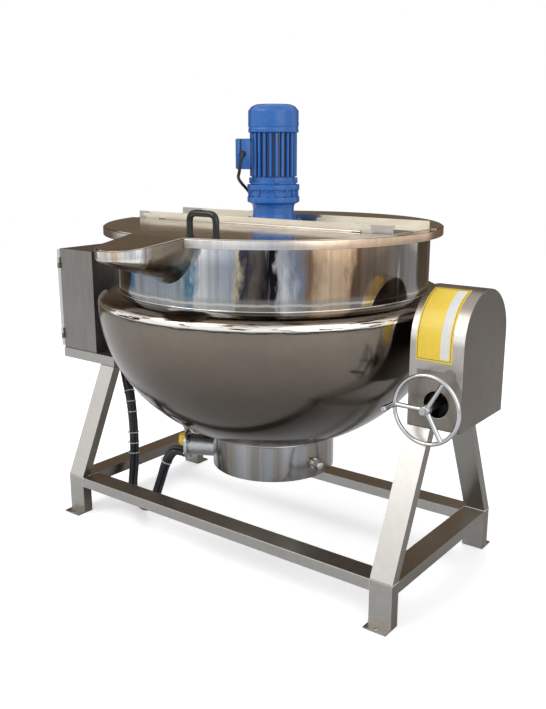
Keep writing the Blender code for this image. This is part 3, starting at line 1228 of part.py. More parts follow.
def rear_lid():
    """The fixed half lid behind the channel."""
    back = BEAM_HALF_WIDTH + CLEARANCE
    first = math.asin(back / LID_RADIUS)
    outline = arc((0, 0), LID_RADIUS, first, math.pi - first, LID_STEPS)
    rear = plate(outline, LID_SHEET)
    attach(rear, "rear_half_lid", "kettle", "polished", (KETTLE_X, 0, RIM_TOP + CLEARANCE + LID_SHEET / 2))


def lid_hinge_height():
    """The lid's hinge axis lies just over the lid's own sheet."""
    return RIM_TOP + CLEARANCE + LID_SHEET + CLEARANCE + LID_HINGE_RADIUS * HINGE_LIFT_SHARE


def lid_hinge_y():
    """The lid's hinge axis in Y, in front of the channel."""
    return -BEAM_HALF_WIDTH - LID_HINGE_LUG / 2


def lid():
    """The hinged front half lid with its tongue over the spout, and its handle."""
    body("front_lid", (KETTLE_X, lid_hinge_y(), lid_hinge_height()), "kettle")
    back = BEAM_HALF_WIDTH + LID_HINGE_LUG + 2 * CLEARANCE
    first = math.pi + math.asin(back / LID_RADIUS)
    tongue = math.asin((SPOUT_ROOT_HALF_WIDTH - LID_SPOUT_INSET) / LID_RADIUS)
    half = LID_STEPS // 2
    outline = arc((0, 0), LID_RADIUS, first, 1.5 * math.pi - tongue, half)
    nose = SPOUT_REACH - SPOUT_TIP_HALF_WIDTH
    outline += arc((0, -nose), SPOUT_TIP_HALF_WIDTH - LID_SPOUT_INSET, math.pi, 2 * math.pi, half)
    outline += arc((0, 0), LID_RADIUS, 1.5 * math.pi + tongue, 3 * math.pi - first, half)
    sheet = plate(outline, LID_SHEET)
    work = bmesh.new()
    work.from_mesh(sheet.data)
    bmesh.ops.bisect_plane(work, geom=work.verts[:] + work.edges[:] + work.faces[:],
                           plane_co=(0, -SPOUT_CHORD, 0), plane_no=(0, 1, 0))
    for vertex in work.verts:
        vertex.co.z += spout_top(-vertex.co.y) - RIM_TOP
    work.to_mesh(sheet.data)
    work.free()
    lid_z = RIM_TOP + CLEARANCE + LID_SHEET / 2
    attach(sheet, "front_half_lid", "front_lid", "mirror", (KETTLE_X, 0, lid_z))
    edge = box((2 * (LID_HINGE_HALF_LENGTH - LID_HINGE_LUG - OVERRUN), LID_HINGE_LUG, LID_SHEET))
    attach(edge, "lid_hinge_leaf", "front_lid",
           at=(KETTLE_X, lid_hinge_y() - LID_HINGE_RADIUS, lid_z))
    combine(sheet, edge, "UNION")
    barrel = cylinder(LID_HINGE_RADIUS, 2 * LID_HINGE_HALF_LENGTH, axis="X", steps=SMALL_STEPS)
    attach(barrel, "lid_hinge_barrel", "front_lid", at=(KETTLE_X, lid_hinge_y(), lid_hinge_height()))
    combine(sheet, barrel, "UNION")


def lid_handle():
    """The bent tube handle on the front half lid."""
    foot_z = RIM_TOP + 2 * CLEARANCE + LID_SHEET
    half_span = HANDLE_SPAN / 2
    corner = HANDLE_CORNER
    high = HANDLE_HEIGHT - HANDLE_TUBE
    path = [(-half_span, 0)]
    path += arc((-half_span + corner, high - corner), corner, math.pi, math.pi / 2, 4)
    path += arc((half_span - corner, high - corner), corner, math.pi / 2, 0, 4)
    path.append((half_span, 0))
    handle = tube([(x, 0, z) for x, z in path], HANDLE_TUBE, 2)
    attach(handle, "lid_handle", "front_lid", "black plastic",
           (KETTLE_X + HANDLE_FROM_AXIS[0], HANDLE_FROM_AXIS[1], foot_z))


def stack(levels, steps=BIG_STEPS):
    """A closed turned solid from (radius, height) steps given bottom to top."""
    profile = [(0, levels[-1][1])] + levels[::-1] + [(0, levels[0][1])]
    return turned(profile, steps)


def web_top():
    """The top of the channel's web, where the reducer stands."""
    return RIM_TOP + CLEARANCE + BEAM_SHEET + CLEARANCE


def reducer_height():
    """The reducer's own height."""
    return REDUCER_FLANGE + REDUCER_NECK + REDUCER_CONE + 2 * REDUCER_DISC + REDUCER_RING


def motor_foot():
    """The height where the motor stands on the reducer."""
    return web_top() + reducer_height() + CLEARANCE


def motor_middle():
    """The height of the middle of the motor."""
    return motor_foot() + (MOTOR_NECK + MOTOR_FIN_LENGTH) / 2


def cowl_foot():
    """The height where the fan cowl stands on the fins."""
    return motor_foot() + MOTOR_NECK + MOTOR_FIN_LENGTH + CLEARANCE


def reducer():
    """The reducer's stack of flanges and discs, with its two sockets."""
    base = web_top()
    levels = [(REDUCER_FLANGE_RADIUS, 0), (REDUCER_FLANGE_RADIUS, REDUCER_FLANGE),
              (REDUCER_NECK_RADIUS, REDUCER_FLANGE), (REDUCER_NECK_RADIUS, REDUCER_FLANGE + REDUCER_NECK)]
    height = REDUCER_FLANGE + REDUCER_NECK + REDUCER_CONE
    levels += [(REDUCER_DISC_RADIUS, height), (REDUCER_DISC_RADIUS, height + REDUCER_DISC)]
    height += REDUCER_DISC
    levels += [(REDUCER_RING_RADIUS, height), (REDUCER_RING_RADIUS, height + REDUCER_RING)]
    height += REDUCER_RING
    levels += [(REDUCER_DISC_RADIUS, height), (REDUCER_DISC_RADIUS, height + REDUCER_DISC)]
    height += REDUCER_DISC
    gearbox = stack(levels, ROUND_STEPS)
    attach(gearbox, "gear_reducer", "kettle", "blue enamel", (KETTLE_X, 0, base))
    socket = cylinder(AGITATOR_SHAFT_RADIUS + AGITATOR_BORE_GAP, 2 * (REDUCER_FLANGE + OVERRUN))
    attach(socket, "gear_reducer_socket", "kettle", at=(KETTLE_X, 0, base))
    combine(gearbox, socket)
    seat = cylinder(ROTOR_SHAFT_RADIUS + CLEARANCE, 2 * OVERRUN, steps=SMALL_STEPS)
    attach(seat, "gear_reducer_input", "kettle", at=(KETTLE_X, 0, base + height))
    combine(gearbox, seat)


def motor():
    """The finned motor with its neck, hollow for the rotor."""
    motor_low = motor_foot()
    neck = cylinder(MOTOR_NECK_RADIUS, MOTOR_NECK)
    attach(neck, "motor_neck", "kettle", at=(KETTLE_X, 0, motor_low + MOTOR_NECK / 2))
    outline = []
    step = 2 * math.pi / MOTOR_FINS
    for i in range(MOTOR_FINS):
        middle = step * i
        for share, radius in ((-MOTOR_FIN_SHARE, MOTOR_ROOT_RADIUS), (-MOTOR_FIN_SHARE, MOTOR_FIN_RADIUS),
                              (MOTOR_FIN_SHARE, MOTOR_FIN_RADIUS), (MOTOR_FIN_SHARE, MOTOR_ROOT_RADIUS)):
            angle = middle + step * share / 2
            outline.append((radius * math.cos(angle), radius * math.sin(angle)))
    fins_low = motor_low + MOTOR_NECK
    fins = plate(outline, MOTOR_FIN_LENGTH)
    attach(fins, "motor_housing", "kettle", "blue enamel", (KETTLE_X, 0, fins_low + MOTOR_FIN_LENGTH / 2))
    combine(fins, neck, "UNION")
    hollow = cylinder(MOTOR_BORE, MOTOR_FIN_LENGTH + MOTOR_NECK - 2 * MOTOR_END_PLATE)
    hollow_z = motor_middle()
    attach(hollow, "motor_bore", "kettle", at=(KETTLE_X, 0, hollow_z))
    combine(fins, hollow)
    shaft_bore = cylinder(ROTOR_SHAFT_RADIUS + CLEARANCE, 2 * MOTOR_FIN_LENGTH, steps=SMALL_STEPS)
    attach(shaft_bore, "motor_shaft_bore", "kettle", at=(KETTLE_X, 0, hollow_z))
    combine(fins, shaft_bore)


def fan_cowl():
    """The domed cowl over the fan, open at its top."""
    cowl_low = cowl_foot()
    dome_low = cowl_low + COWL_HEIGHT
    outer = [(COWL_INTAKE_RADIUS, dome_low + COWL_DOME), (COWL_TOP_RADIUS, dome_low + COWL_DOME),
             ((COWL_TOP_RADIUS + COWL_RADIUS) / 2 + COWL_WALL, dome_low + COWL_DOME * COWL_BEND_SHARE),
             (COWL_RADIUS, dome_low), (COWL_RADIUS, cowl_low)]
    inner = [(radius - COWL_WALL, height - COWL_WALL) for radius, height in outer[1:-1]]
    foot = [(COWL_FOOT_RADIUS, cowl_low), (COWL_FOOT_RADIUS, cowl_low + COWL_WALL),
            (COWL_RADIUS - COWL_WALL, cowl_low + COWL_WALL)]
    profile = outer + foot + inner[::-1] + [(COWL_INTAKE_RADIUS, dome_low + COWL_DOME - COWL_WALL)]
    cowl = turned(profile, ROUND_STEPS, closed=True)
    attach(cowl, "fan_cowl", "kettle", "blue enamel", (KETTLE_X, 0, 0))


def rotor():
    """The rotor on its shaft with the fan's blades."""
    hollow_z = motor_middle()
    motor_low = motor_foot()
    cowl_low = cowl_foot()
    body("motor_rotor_axis", (KETTLE_X, 0, hollow_z), "kettle")
    core = cylinder(ROTOR_RADIUS, ROTOR_CORE)
    attach(core, "motor_rotor", "motor_rotor_axis", "steel", (KETTLE_X, 0, hollow_z))
    shaft_low = motor_low - OVERRUN * ROTOR_SEAT_SHARE
    shaft_high = cowl_low + COWL_HEIGHT * ROTOR_TOP_SHARE
    shaft = cylinder(ROTOR_SHAFT_RADIUS, shaft_high - shaft_low, steps=SMALL_STEPS)
    attach(shaft, "rotor_shaft", "motor_rotor_axis", at=(KETTLE_X, 0, (shaft_low + shaft_high) / 2))
    combine(core, shaft, "UNION")
    for i in range(FAN_BLADES // 2):
        blade = box((2 * FAN_RADIUS, FAN_BLADE, FAN_HEIGHT))
        attach(blade, f"fan_blade_{i}", "motor_rotor_axis",
               at=(KETTLE_X, 0, cowl_low + COWL_HEIGHT * FAN_HEIGHT_SHARE),
               turn=(0, 0, 2 * math.pi * i / FAN_BLADES))
        combine(core, blade, "UNION")


def terminal_box():
    """The motor's terminal box and the cable from it down into the channel."""
    height = web_top() + TERMINAL_CENTRE
    inner = MOTOR_FIN_RADIUS + CLEARANCE
    depth = TERMINAL_REACH - inner
    case = box((depth, TERMINAL_WIDTH, TERMINAL_HEIGHT))
    attach(case, "terminal_box", "kettle", "blue enamel",
           radial(TERMINAL_ANGLE, inner + depth / 2, height), (0, 0, TERMINAL_ANGLE))
    saddle = cylinder(MOTOR_FIN_RADIUS + CLEARANCE, TERMINAL_HEIGHT + OVERRUN, steps=2 * BIG_STEPS)
    attach(saddle, "terminal_saddle", "kettle", at=(KETTLE_X, 0, height))
    combine(case, saddle)
    side = TERMINAL_ANGLE + math.pi / 2
    outward = Vector((math.cos(TERMINAL_ANGLE), math.sin(TERMINAL_ANGLE), 0))
    across = Vector((math.cos(side), math.sin(side), 0))
    middle_reach = inner + depth * TERMINAL_MOUTH_SHARE
    mouth = Vector((KETTLE_X, 0, height)) + outward * middle_reach + across * (TERMINAL_WIDTH / 2)
    gland = cylinder(TERMINAL_GLAND_RADIUS, TERMINAL_GLAND_LENGTH * 2, axis="X", steps=SMALL_STEPS)
    attach(gland, "terminal_gland", "kettle", at=mouth, turn=(0, 0, side))
    combine(case, gland, "UNION")

    start_point = mouth + across * (TERMINAL_GLAND_LENGTH + CLEARANCE)
    web = web_top()
    grommet_place = Vector((KETTLE_X, 0, 0)) + outward * MOTOR_CABLE_EXIT[0] - across * MOTOR_CABLE_EXIT[1]
    grommet = cylinder(WEB_GROMMET_RADIUS, WEB_GROMMET, steps=SMALL_STEPS)
    attach(grommet, "beam_grommet", "kettle", "black plastic",
           (grommet_place.x, grommet_place.y, web + WEB_GROMMET / 2))
    points = [start_point]
    for along, sideways, rise in MOTOR_CABLE_ROUTE:
        points.append(Vector((KETTLE_X, 0, 0)) + outward * along + across * sideways + Vector((0, 0, web + rise)))
    end = Vector((grommet_place.x, grommet_place.y, web + WEB_GROMMET + CLEARANCE))
    points += [end + Vector((0, 0, OVERRUN)), end]
    points.insert(1, start_point + across * TERMINAL_GLAND_LENGTH)
    cable = tube(smooth_path(points, MOTOR_CABLE_STEPS), MOTOR_CABLE_RADIUS, 2)
    attach(cable, "motor_cable", "kettle", "rubber")


def agitator():
    """The vertical shaft and the anchor frame that follows the bowl."""
    top = web_top() + REDUCER_FLANGE + OVERRUN - CLEARANCE
    hub_high = RIM_TOP - ANCHOR_ARM_DROP + ANCHOR_HUB_LENGTH / 2
    body("agitator", (KETTLE_X, 0, hub_high), "kettle")
    low = DISH_TOP - DISH_DEPTH + ANCHOR_CLEAR + 2 * ANCHOR_TUBE + CLEARANCE
    shaft = cylinder(AGITATOR_SHAFT_RADIUS, top - low)
    attach(shaft, "agitator_shaft", "agitator", "stainless", (KETTLE_X, 0, (top + low) / 2))

    reach = BOWL_RADIUS - ANCHOR_CLEAR - ANCHOR_TUBE
    depth = DISH_DEPTH - ANCHOR_CLEAR - ANCHOR_TUBE
    path = [(-reach, RIM_TOP - ANCHOR_TOP_DROP)]
    path += [(-reach * math.cos(math.pi * i / ANCHOR_STEPS),
              DISH_TOP - depth * math.sin(math.pi * i / ANCHOR_STEPS))
             for i in range(ANCHOR_STEPS + 1)]
    path.append((reach, RIM_TOP - ANCHOR_TOP_DROP))
    frame = tube([(x, 0, z) for x, z in path], ANCHOR_TUBE, 2)
    attach(frame, "anchor_frame", "agitator", "stainless", (KETTLE_X, 0, 0))
    arm = cylinder(ANCHOR_TUBE * ARM_SHARE, 2 * reach, axis="X", steps=SMALL_STEPS)
    attach(arm, "anchor_arm", "agitator", at=(KETTLE_X, 0, RIM_TOP - ANCHOR_ARM_DROP))
    combine(frame, arm, "UNION")
    hub = cylinder(ANCHOR_HUB_RADIUS, ANCHOR_HUB_LENGTH)
    attach(hub, "anchor_hub", "agitator", at=(KETTLE_X, 0, RIM_TOP - ANCHOR_ARM_DROP))
    combine(frame, hub, "UNION")
    bore = cylinder(AGITATOR_SHAFT_RADIUS + CLEARANCE, top - low + OVERRUN)
    attach(bore, "anchor_bore", "agitator",
           at=(KETTLE_X, 0, (top + low + OVERRUN) / 2 - CLEARANCE))
    combine(frame, bore)


def scrapers():
    """The two plastic blades that follow the bowl's wall."""
    inner = BOWL_RADIUS - ANCHOR_CLEAR + CLEARANCE
    width = ANCHOR_CLEAR - CLEARANCE - SCRAPER_BOWL_GAP
    for name, side in (("scraper_left", -1), ("scraper_right", 1)):
        blade = box((width, SCRAPER_THICK, SCRAPER_LENGTH))
        attach(blade, name, "agitator", "white plastic",
               (KETTLE_X + side * (inner + width / 2), 0, DISH_TOP + SCRAPER_LENGTH * SCRAPER_LIFT_SHARE))


def power_cable():
    """The cable from the heater's gland down behind the front rail and up to the shelf."""
    place = Vector(radial(PORT_ANGLE, PORT_REACH + 2 * CLEARANCE + PORT_GLAND_LENGTH,
                          PORT_HEIGHT - PORT_GLAND_DROP))
    outward = Vector((math.cos(PORT_ANGLE), math.sin(PORT_ANGLE), 0))
    top = Vector((GLAND_X, GLAND_Y, LEG_TOP_LEFT + SHELF_HEIGHT - SHEET - GLAND_LENGTH - 3 * CLEARANCE))
    points = [place, place + outward * 2 * OVERRUN]
    heights = [place.z * share for share in CABLE_FIRST_HEIGHT_SHARES]
    heights += [CABLE_LOW_HEIGHT, CABLE_LOW_HEIGHT]
    heights += [top.z * share for share in CABLE_LAST_HEIGHT_SHARES]
    for share, side, height in zip(CABLE_RUN_SHARES, CABLE_SIDES, heights):
        points.append(Vector((place.x + (top.x - place.x) * share, side, height)))
    points += [top - Vector((0, 0, 2 * OVERRUN)), top]
    cable = tube(smooth_path(points, CABLE_STEPS), CABLE_RADIUS, 2)
    attach(cable, "power_cable", "stand", "rubber")


def build():
    """Build every piece of the kettle."""
    start()
    body("stand", (0, 0, 0))
    body("kettle", (KETTLE_X, 0, TILT_AXIS_HEIGHT), "stand")
    for piece in (stand, left_shelf, control_box, contactor_block, door, gear_cover, worm_bracket,
                  worm_shaft, handwheel, handwheel_nut, handwheel_grip, bowl, jacket, rim, spout, sump,
                  heater_port, heating_element, drain, trunnions, worm_wheel, beam, rear_lid, lid,
                  lid_handle, reducer, motor, fan_cowl, terminal_box, rotor, agitator, scrapers,
                  power_cable):
        piece()


build()
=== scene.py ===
"""Finished surfaces and studio for a tilting jacketed kettle.

The kettle's main pieces are meshes worked out from sizes in its own frame, then
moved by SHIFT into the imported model's frame. The others are merged copies of the
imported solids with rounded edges. All of them ride on the model's bodies.
"""

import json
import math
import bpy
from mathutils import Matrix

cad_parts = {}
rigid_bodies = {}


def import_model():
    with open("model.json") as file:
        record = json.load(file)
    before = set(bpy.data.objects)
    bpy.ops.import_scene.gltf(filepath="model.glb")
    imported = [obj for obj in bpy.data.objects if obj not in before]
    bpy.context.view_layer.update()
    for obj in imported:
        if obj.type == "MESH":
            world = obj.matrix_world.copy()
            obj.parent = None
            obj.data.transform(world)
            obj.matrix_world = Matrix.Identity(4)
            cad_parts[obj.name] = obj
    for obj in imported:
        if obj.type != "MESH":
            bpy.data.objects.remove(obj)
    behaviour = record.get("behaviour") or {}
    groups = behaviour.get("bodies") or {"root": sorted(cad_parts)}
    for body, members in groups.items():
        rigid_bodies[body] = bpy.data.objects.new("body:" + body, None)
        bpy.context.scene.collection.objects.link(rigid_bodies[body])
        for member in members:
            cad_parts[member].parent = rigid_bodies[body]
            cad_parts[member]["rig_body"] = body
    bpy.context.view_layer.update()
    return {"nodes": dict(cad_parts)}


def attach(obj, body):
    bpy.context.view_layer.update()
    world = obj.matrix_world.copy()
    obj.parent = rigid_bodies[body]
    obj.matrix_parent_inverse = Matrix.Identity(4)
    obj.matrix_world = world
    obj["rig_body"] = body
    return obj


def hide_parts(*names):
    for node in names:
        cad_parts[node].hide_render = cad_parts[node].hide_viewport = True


bl_info = {
    "name": "Jacketed kettle looks",
    "version": (1, 0, 0),
    "blender": (4, 5, 0),
    "location": "3D View > Sidebar > Kettle",
    "description": "Builds the finished surfaces of a tilting jacketed kettle and its studio",
    "category": "Object",
}

import bmesh
import bpy
import numpy as np
from mathutils import Vector

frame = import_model()

TAU = 2 * math.pi
SHIFT = np.array((0.07005, 0.0860, 0.0))
KETTLE = np.array((0.022, 0.0, 0.0))
UP = np.array((0.0, 0.0, 1.0))
MERGE = 0.000002
FINE_STEPS = 160
ROUND_STEPS = 64
SMALL_STEPS = 32


def linear(red, green, blue):
    """A colour given as 0 to 255 on screen, as the linear values that shaders take."""
    shares = [value / 255 for value in (red, green, blue)]
    return tuple(((share + 0.055) / 1.055) ** 2.4 if share > 0.04 else share / 12.92 for share in shares)


def length(label, default, text):
    """A size in metres."""
    return bpy.props.FloatProperty(
        name=label, description=text, default=default, unit="LENGTH", precision=4)


def colour(label, default, text):
    """A colour, given as it looks on screen."""
    return bpy.props.FloatVectorProperty(
        name=label, description=text, default=linear(*default), size=3, min=0, max=1, subtype="COLOR")


class KettleSizes(bpy.types.PropertyGroup):
    """Sizes of the kettle's visible pieces."""
    rim_top: length("Rim height", 1.177, "Top of the rim above the floor")
    bowl_radius: length("Bowl radius", 0.550, "Inside radius of the bowl")
    bowl_depth: length("Bowl depth", 0.400, "Depth of the bowl's round bottom")
    dish_top: length("Jacket height", 0.915, "Height where the jacket is widest")
    jacket_radius: length("Jacket radius", 0.626, "Outside radius of the jacket")
    jacket_depth: length("Jacket depth", 0.536, "Depth of the jacket's round bottom")
    shoulder: length("Shoulder", 0.046, "Rise of the jacket's shoulder")
    rim_radius: length("Rim radius", 0.596, "Outside radius of the rim")
    rim_lip: length("Rim lip", 0.026, "Height of the turned-down rim")
    sheet: length("Sheet", 0.003, "Thickness of the steel sheet")
    sump_radius: length("Heater housing radius", 0.228, "Radius of the housing under the jacket")
    sump_low: length("Heater housing bottom", 0.283, "Height of the housing's bottom edge")
    spout_reach: length("Spout reach", 0.795, "Distance of the spout's tip from the kettle's axis")
    spout_root: length("Spout root", 0.112, "Half width of the spout at the bowl")
    spout_tip: length("Spout tip", 0.094, "Radius of the spout's round nose")
    handle_tube: length("Handle tube", 0.010, "Radius of the lid handle's tube")
    handle_rise: length("Handle height", 0.079, "Height of the lid handle above its foot")
    wheel_radius: length("Handwheel radius", 0.106, "Radius of the handwheel's ring")
    wheel_tube: length("Handwheel tube", 0.0065, "Radius of the ring's tube")
    fin_radius: length("Fin radius", 0.0825, "Outside radius of the motor's fins")
    cowl_radius: length("Cowl radius", 0.0875, "Outside radius of the motor's fan cowl")
    strand_radius: length("Cable radius", 0.0098, "Radius of one heater cable")
    lead_radius: length("Motor lead radius", 0.0055, "Radius of the motor's lead")


class KettleColours(bpy.types.PropertyGroup):
    """Colours of the kettle's materials."""
    steel: colour("Steel", (222, 219, 215), "Satin stainless steel of the stand")
    shell: colour("Polished steel", (150, 140, 128), "Spout and the bowl's inside")
    lid: colour("Lid", (206, 197, 187), "Polished lid")
    box: colour("Box", (146, 143, 138), "Electric box")
    leg: colour("Legs", (202, 200, 196), "Legs and rails of the stand")
    rail: colour("Rails", (180, 177, 172), "Front base rail, posts and shelf")
    dark_side: colour("Room", (112, 98, 82), "What the tops of polished pieces mirror behind the kettle")
    cover: colour("Gear cover", (176, 168, 158), "Brushed gear cover in the viewport")
    zinc: colour("Zinc", (188, 190, 193), "Plated fittings")
    chrome: colour("Chrome", (204, 205, 206), "Handwheel")
    iron: colour("Cast iron", (78, 80, 82), "Bearing blocks")
    bronze: colour("Bronze", (190, 150, 92), "Worm wheel")
    blue: colour("Blue", (18, 101, 184), "Motor and reducer")
    film: colour("Film", (236, 228, 208), "Protective film on the channel")
    yellow: colour("Yellow", (240, 196, 30), "Cap")
    label: colour("Label", (248, 214, 70), "Plain label")
    black: colour("Black", (10, 10, 11), "Handle, glands and knob")
    cable: colour("Cable", (22, 25, 36), "Heater cables")
    white: colour("White", (232, 232, 226), "Ties, scrapers and label band")
    red: colour("Red", (190, 26, 20), "Stop button")
    green: colour("Green", (28, 140, 62), "Start button")


# Points, grids and outlines


def unit(vector):
    """A vector made one long."""
    vector = np.asarray(vector, float)
    return vector / np.linalg.norm(vector)


def unit_rows(vectors):
    """Each row made one long."""
    return vectors / np.linalg.norm(vectors, axis=1)[:, None]


def outwards(angle):
    """The level direction at an angle round an upright axis."""
    return np.array((math.cos(angle), math.sin(angle), 0))


def beside(out):
    """The level direction a quarter turn on from another."""
    return np.array((-out[1], out[0], 0))


def circle(centre, radius, steps=FINE_STEPS):
    """Places on a level circle, by the cosine and sine of even angles."""
    angle = np.linspace(0, TAU, steps, endpoint=False)[:, None]
    return np.asarray(centre) + radius * np.concatenate((np.cos(angle), np.sin(angle), 0 * angle), 1)


def grid(points, wrap_rows=False, wrap_columns=True):
    """Vertices and quads of a surface given as rows and columns of points."""
    rows, columns = points.shape[:2]
    index = np.arange(rows * columns).reshape(rows, columns)
    low = index if wrap_rows else index[:-1]
    high = np.roll(index, -1, 0) if wrap_rows else index[1:]
    sides = []
    for line in (low, high):
        sides += [line, np.roll(line, -1, 1)] if wrap_columns else [line[:, :-1], line[:, 1:]]
    quads = np.stack((sides[0], sides[1], sides[3], sides[2]), -1).reshape(-1, 4)
    return points.reshape(-1, 3), quads


def rounded(corners, radius, steps=5, closed=False):
    """A line with each corner replaced by a short parabola of about this radius."""
    corners = [np.asarray(corner, float) for corner in corners]
    count = len(corners)
    line = [] if closed else [corners[0]]
    for i in range(0 if closed else 1, count if closed else count - 1):
        before, corner, after = corners[i - 1], corners[i], corners[(i + 1) % count]
        back, ahead = before - corner, after - corner
        far_back, far_ahead = np.linalg.norm(back), np.linalg.norm(ahead)
        reach = min(radius, far_back * 0.45, far_ahead * 0.45)
        first, last = corner + back / far_back * reach, corner + ahead / far_ahead * reach
        for t in np.linspace(0, 1, steps):
            line.append((1 - t) ** 2 * first + 2 * t * (1 - t) * corner + t ** 2 * last)
    if not closed:
        line.append(corners[-1])
    return np.array(line)


def frame_of(axis):
    """Two directions square to an axis and to each other."""
    axis = unit(axis)
    side = unit(np.cross(UP if abs(axis[2]) < 0.9 else (1, 0, 0), axis))
    return side, np.cross(axis, side)


def turned(profile, steps=ROUND_STEPS, centre=(0, 0, 0), axis=UP, closed=False, span=None):
    """A profile of (radius, distance along) turned about an axis, all round or over a span of angles."""
    profile = np.asarray(profile, float)
    axis = unit(axis)
    side, other = (np.array((1.0, 0, 0)), np.array((0, 1.0, 0))) if axis[2] > 0.99 else frame_of(axis)
    angle = np.linspace(*span, steps) if span else np.linspace(0, TAU, steps, endpoint=False)
    spoke = np.cos(angle)[:, None] * side + np.sin(angle)[:, None] * other
    points = np.asarray(centre) + profile[:, :1, None] * spoke + profile[:, 1:, None] * axis
    return grid(points, closed, span is None)


def rod(radius, low, high, centre=(0, 0, 0), axis=UP, steps=SMALL_STEPS, edge=0.001):
    """A solid round bar from low to high along an axis, its two edges rounded."""
    line = rounded([(0, low), (radius, low), (radius, high), (0, high)], edge)
    return turned(line, steps, centre, axis)


def tube(path, radius, sides=20, closed=False):
    """A round tube along a path, each ring square to it and none twisted against the last."""
    path = np.asarray(path, float)
    if closed:
        tangent = np.roll(path, -1, 0) - np.roll(path, 1, 0)
    else:
        tangent = np.gradient(path, axis=0)
    tangent = unit_rows(tangent)
    side = frame_of(tangent[0])[0]
    rings = []
    angle = np.linspace(0, TAU, sides, endpoint=False)[:, None]
    radii = np.broadcast_to(radius, len(path))
    for place, along, size in zip(path, tangent, radii):
        side = unit(side - along * np.dot(side, along))
        rings.append(place + size * (np.cos(angle) * side + np.sin(angle) * np.cross(along, side)))
    points = np.array(rings)
    if not closed:
        first = np.repeat(path[:1, None], sides, 1)
        last = np.repeat(path[-1:, None], sides, 1)
        points = np.concatenate((first, points, last))
    return grid(points, closed, True)


def block(size, edge, centre=(0, 0, 0), basis=None, steps=4):
    """A box with rounded edges, from its middle below to its middle above, in its own directions."""
    half = np.asarray(size, float) / 2
    edge = min(edge, *(half * 0.98))
    turn = np.linspace(0, math.pi / 2, steps + 1)
    inset = np.concatenate((edge * (1 - np.sin(turn)), edge * (1 - np.cos(turn))))
    height = np.concatenate((-half[2] + edge * (1 - np.cos(turn)), half[2] - edge * (1 - np.sin(turn))))
    corner = np.repeat(((1, 1), (-1, 1), (-1, -1), (1, -1)), steps + 1, 0) * (half[:2] - edge)
    around = np.concatenate([turn + quarter * math.pi / 2 for quarter in range(4)])
    ring = np.stack((np.cos(around), np.sin(around)), 1)
    flat = corner + (edge - inset)[:, None, None] * ring
    points = np.concatenate((flat, np.broadcast_to(height[:, None, None], (*flat.shape[:2], 1))), 2)
    ends = [np.zeros((1, points.shape[1], 3)) + (0, 0, z) for z in (-half[2], half[2])]
    points = np.concatenate((ends[0], points, ends[1]))
    if basis is not None:
        points = points @ np.asarray(basis, float)
    return grid(points + np.asarray(centre))


def curve_through(points, count):
    """Places read evenly along a Catmull-Rom curve through the given points."""
    points = np.asarray(points, float)
    ends = np.concatenate((2 * points[:1] - points[1:2], points, 2 * points[-1:] - points[-2:-1]))
    t = np.linspace(0, 1, 40, endpoint=False)[:, None]
    fine = [0.5 * (2 * b + (c - a) * t
                   + (2 * a - 5 * b + 4 * c - d) * t ** 2
                   + (3 * b - a - 3 * c + d) * t ** 3)
            for a, b, c, d in zip(ends, ends[1:], ends[2:], ends[3:])]
    fine = np.concatenate(fine + [points[-1:]])
    run = np.concatenate(((0,), np.cumsum(np.linalg.norm(np.diff(fine, axis=0), axis=1))))
    goal = np.linspace(0, run[-1], count)
    return np.stack([np.interp(goal, run, fine[:, i]) for i in range(3)], 1)


# Objects


def piece(name, shapes, body, look, replaces=(), angle=35.0, fill=False):
    """Join grids into one closed mesh and hang it on its body with its material."""
    places = np.concatenate([points for points, _ in shapes]) + SHIFT
    starts = np.cumsum([0] + [len(points) for points, _ in shapes])
    faces = np.concatenate([quads + start for (_, quads), start in zip(shapes, starts)])
    mesh = bpy.data.meshes.new(name)
    mesh.from_pydata(places.tolist(), [], faces.tolist())
    return finished(name, mesh, body, look, replaces, angle, fill)


def finished(name, mesh, body, look, replaces, angle, fill=False):
    """Merge a mesh's doubles, turn its faces outwards and make it a piece of the model."""
    work = bmesh.new()
    work.from_mesh(mesh)
    bmesh.ops.remove_doubles(work, verts=work.verts, dist=MERGE)
    bmesh.ops.dissolve_degenerate(work, edges=work.edges, dist=MERGE)
    if fill:
        bmesh.ops.holes_fill(work, edges=[edge for edge in work.edges if edge.is_boundary], sides=0)
    bmesh.ops.recalc_face_normals(work, faces=work.faces)
    work.to_mesh(mesh)
    work.free()
    mesh.shade_smooth()
    mesh.set_sharp_from_angle(angle=math.radians(angle))
    mesh.materials.clear()
    mesh.materials.append(material(look))
    item = bpy.data.objects.new(name, mesh)
    bpy.context.scene.collection.objects.link(item)
    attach(item, body)
    if replaces:
        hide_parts(*replaces)
    return item


def dressed(node_name, look, edge=0.0, angle=35.0):
    """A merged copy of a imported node, smooth up to an angle, its edges rounded where an edge is given."""
    source = frame["nodes"][node_name]
    places = [vertex.co[:] for vertex in source.data.vertices]
    faces = [list(face.vertices) for face in source.data.polygons]
    mesh = bpy.data.meshes.new(node_name)
    mesh.from_pydata(places, [], faces)
    item = finished("skin_" + node_name, mesh, source["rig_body"], look, [node_name], angle)
    if edge:
        soften(item, edge)
    return item


def soften(item, edge):
    """Round a piece's real edges."""
    bevel = item.modifiers.new("edges", "BEVEL")
    bevel.width = edge
    bevel.segments = 3
    bevel.limit_method = "ANGLE"
    bevel.angle_limit = math.radians(40)
    bevel.harden_normals = True


# Shader nodes


def node(tree, kind, inputs=None, **settings):
    """Add a shader node, set its settings, then link or set its inputs."""
    made = tree.nodes.new("ShaderNode" + kind)
    for key, value in settings.items():
        setattr(made, key, value)
    for key, value in (inputs or {}).items():
        if isinstance(value, bpy.types.NodeSocket):
            tree.links.new(value, made.inputs[key])
        else:
            made.inputs[key].default_value = value
    return made


def rgba(values):
    """A colour with full alpha."""
    return (*values, 1)


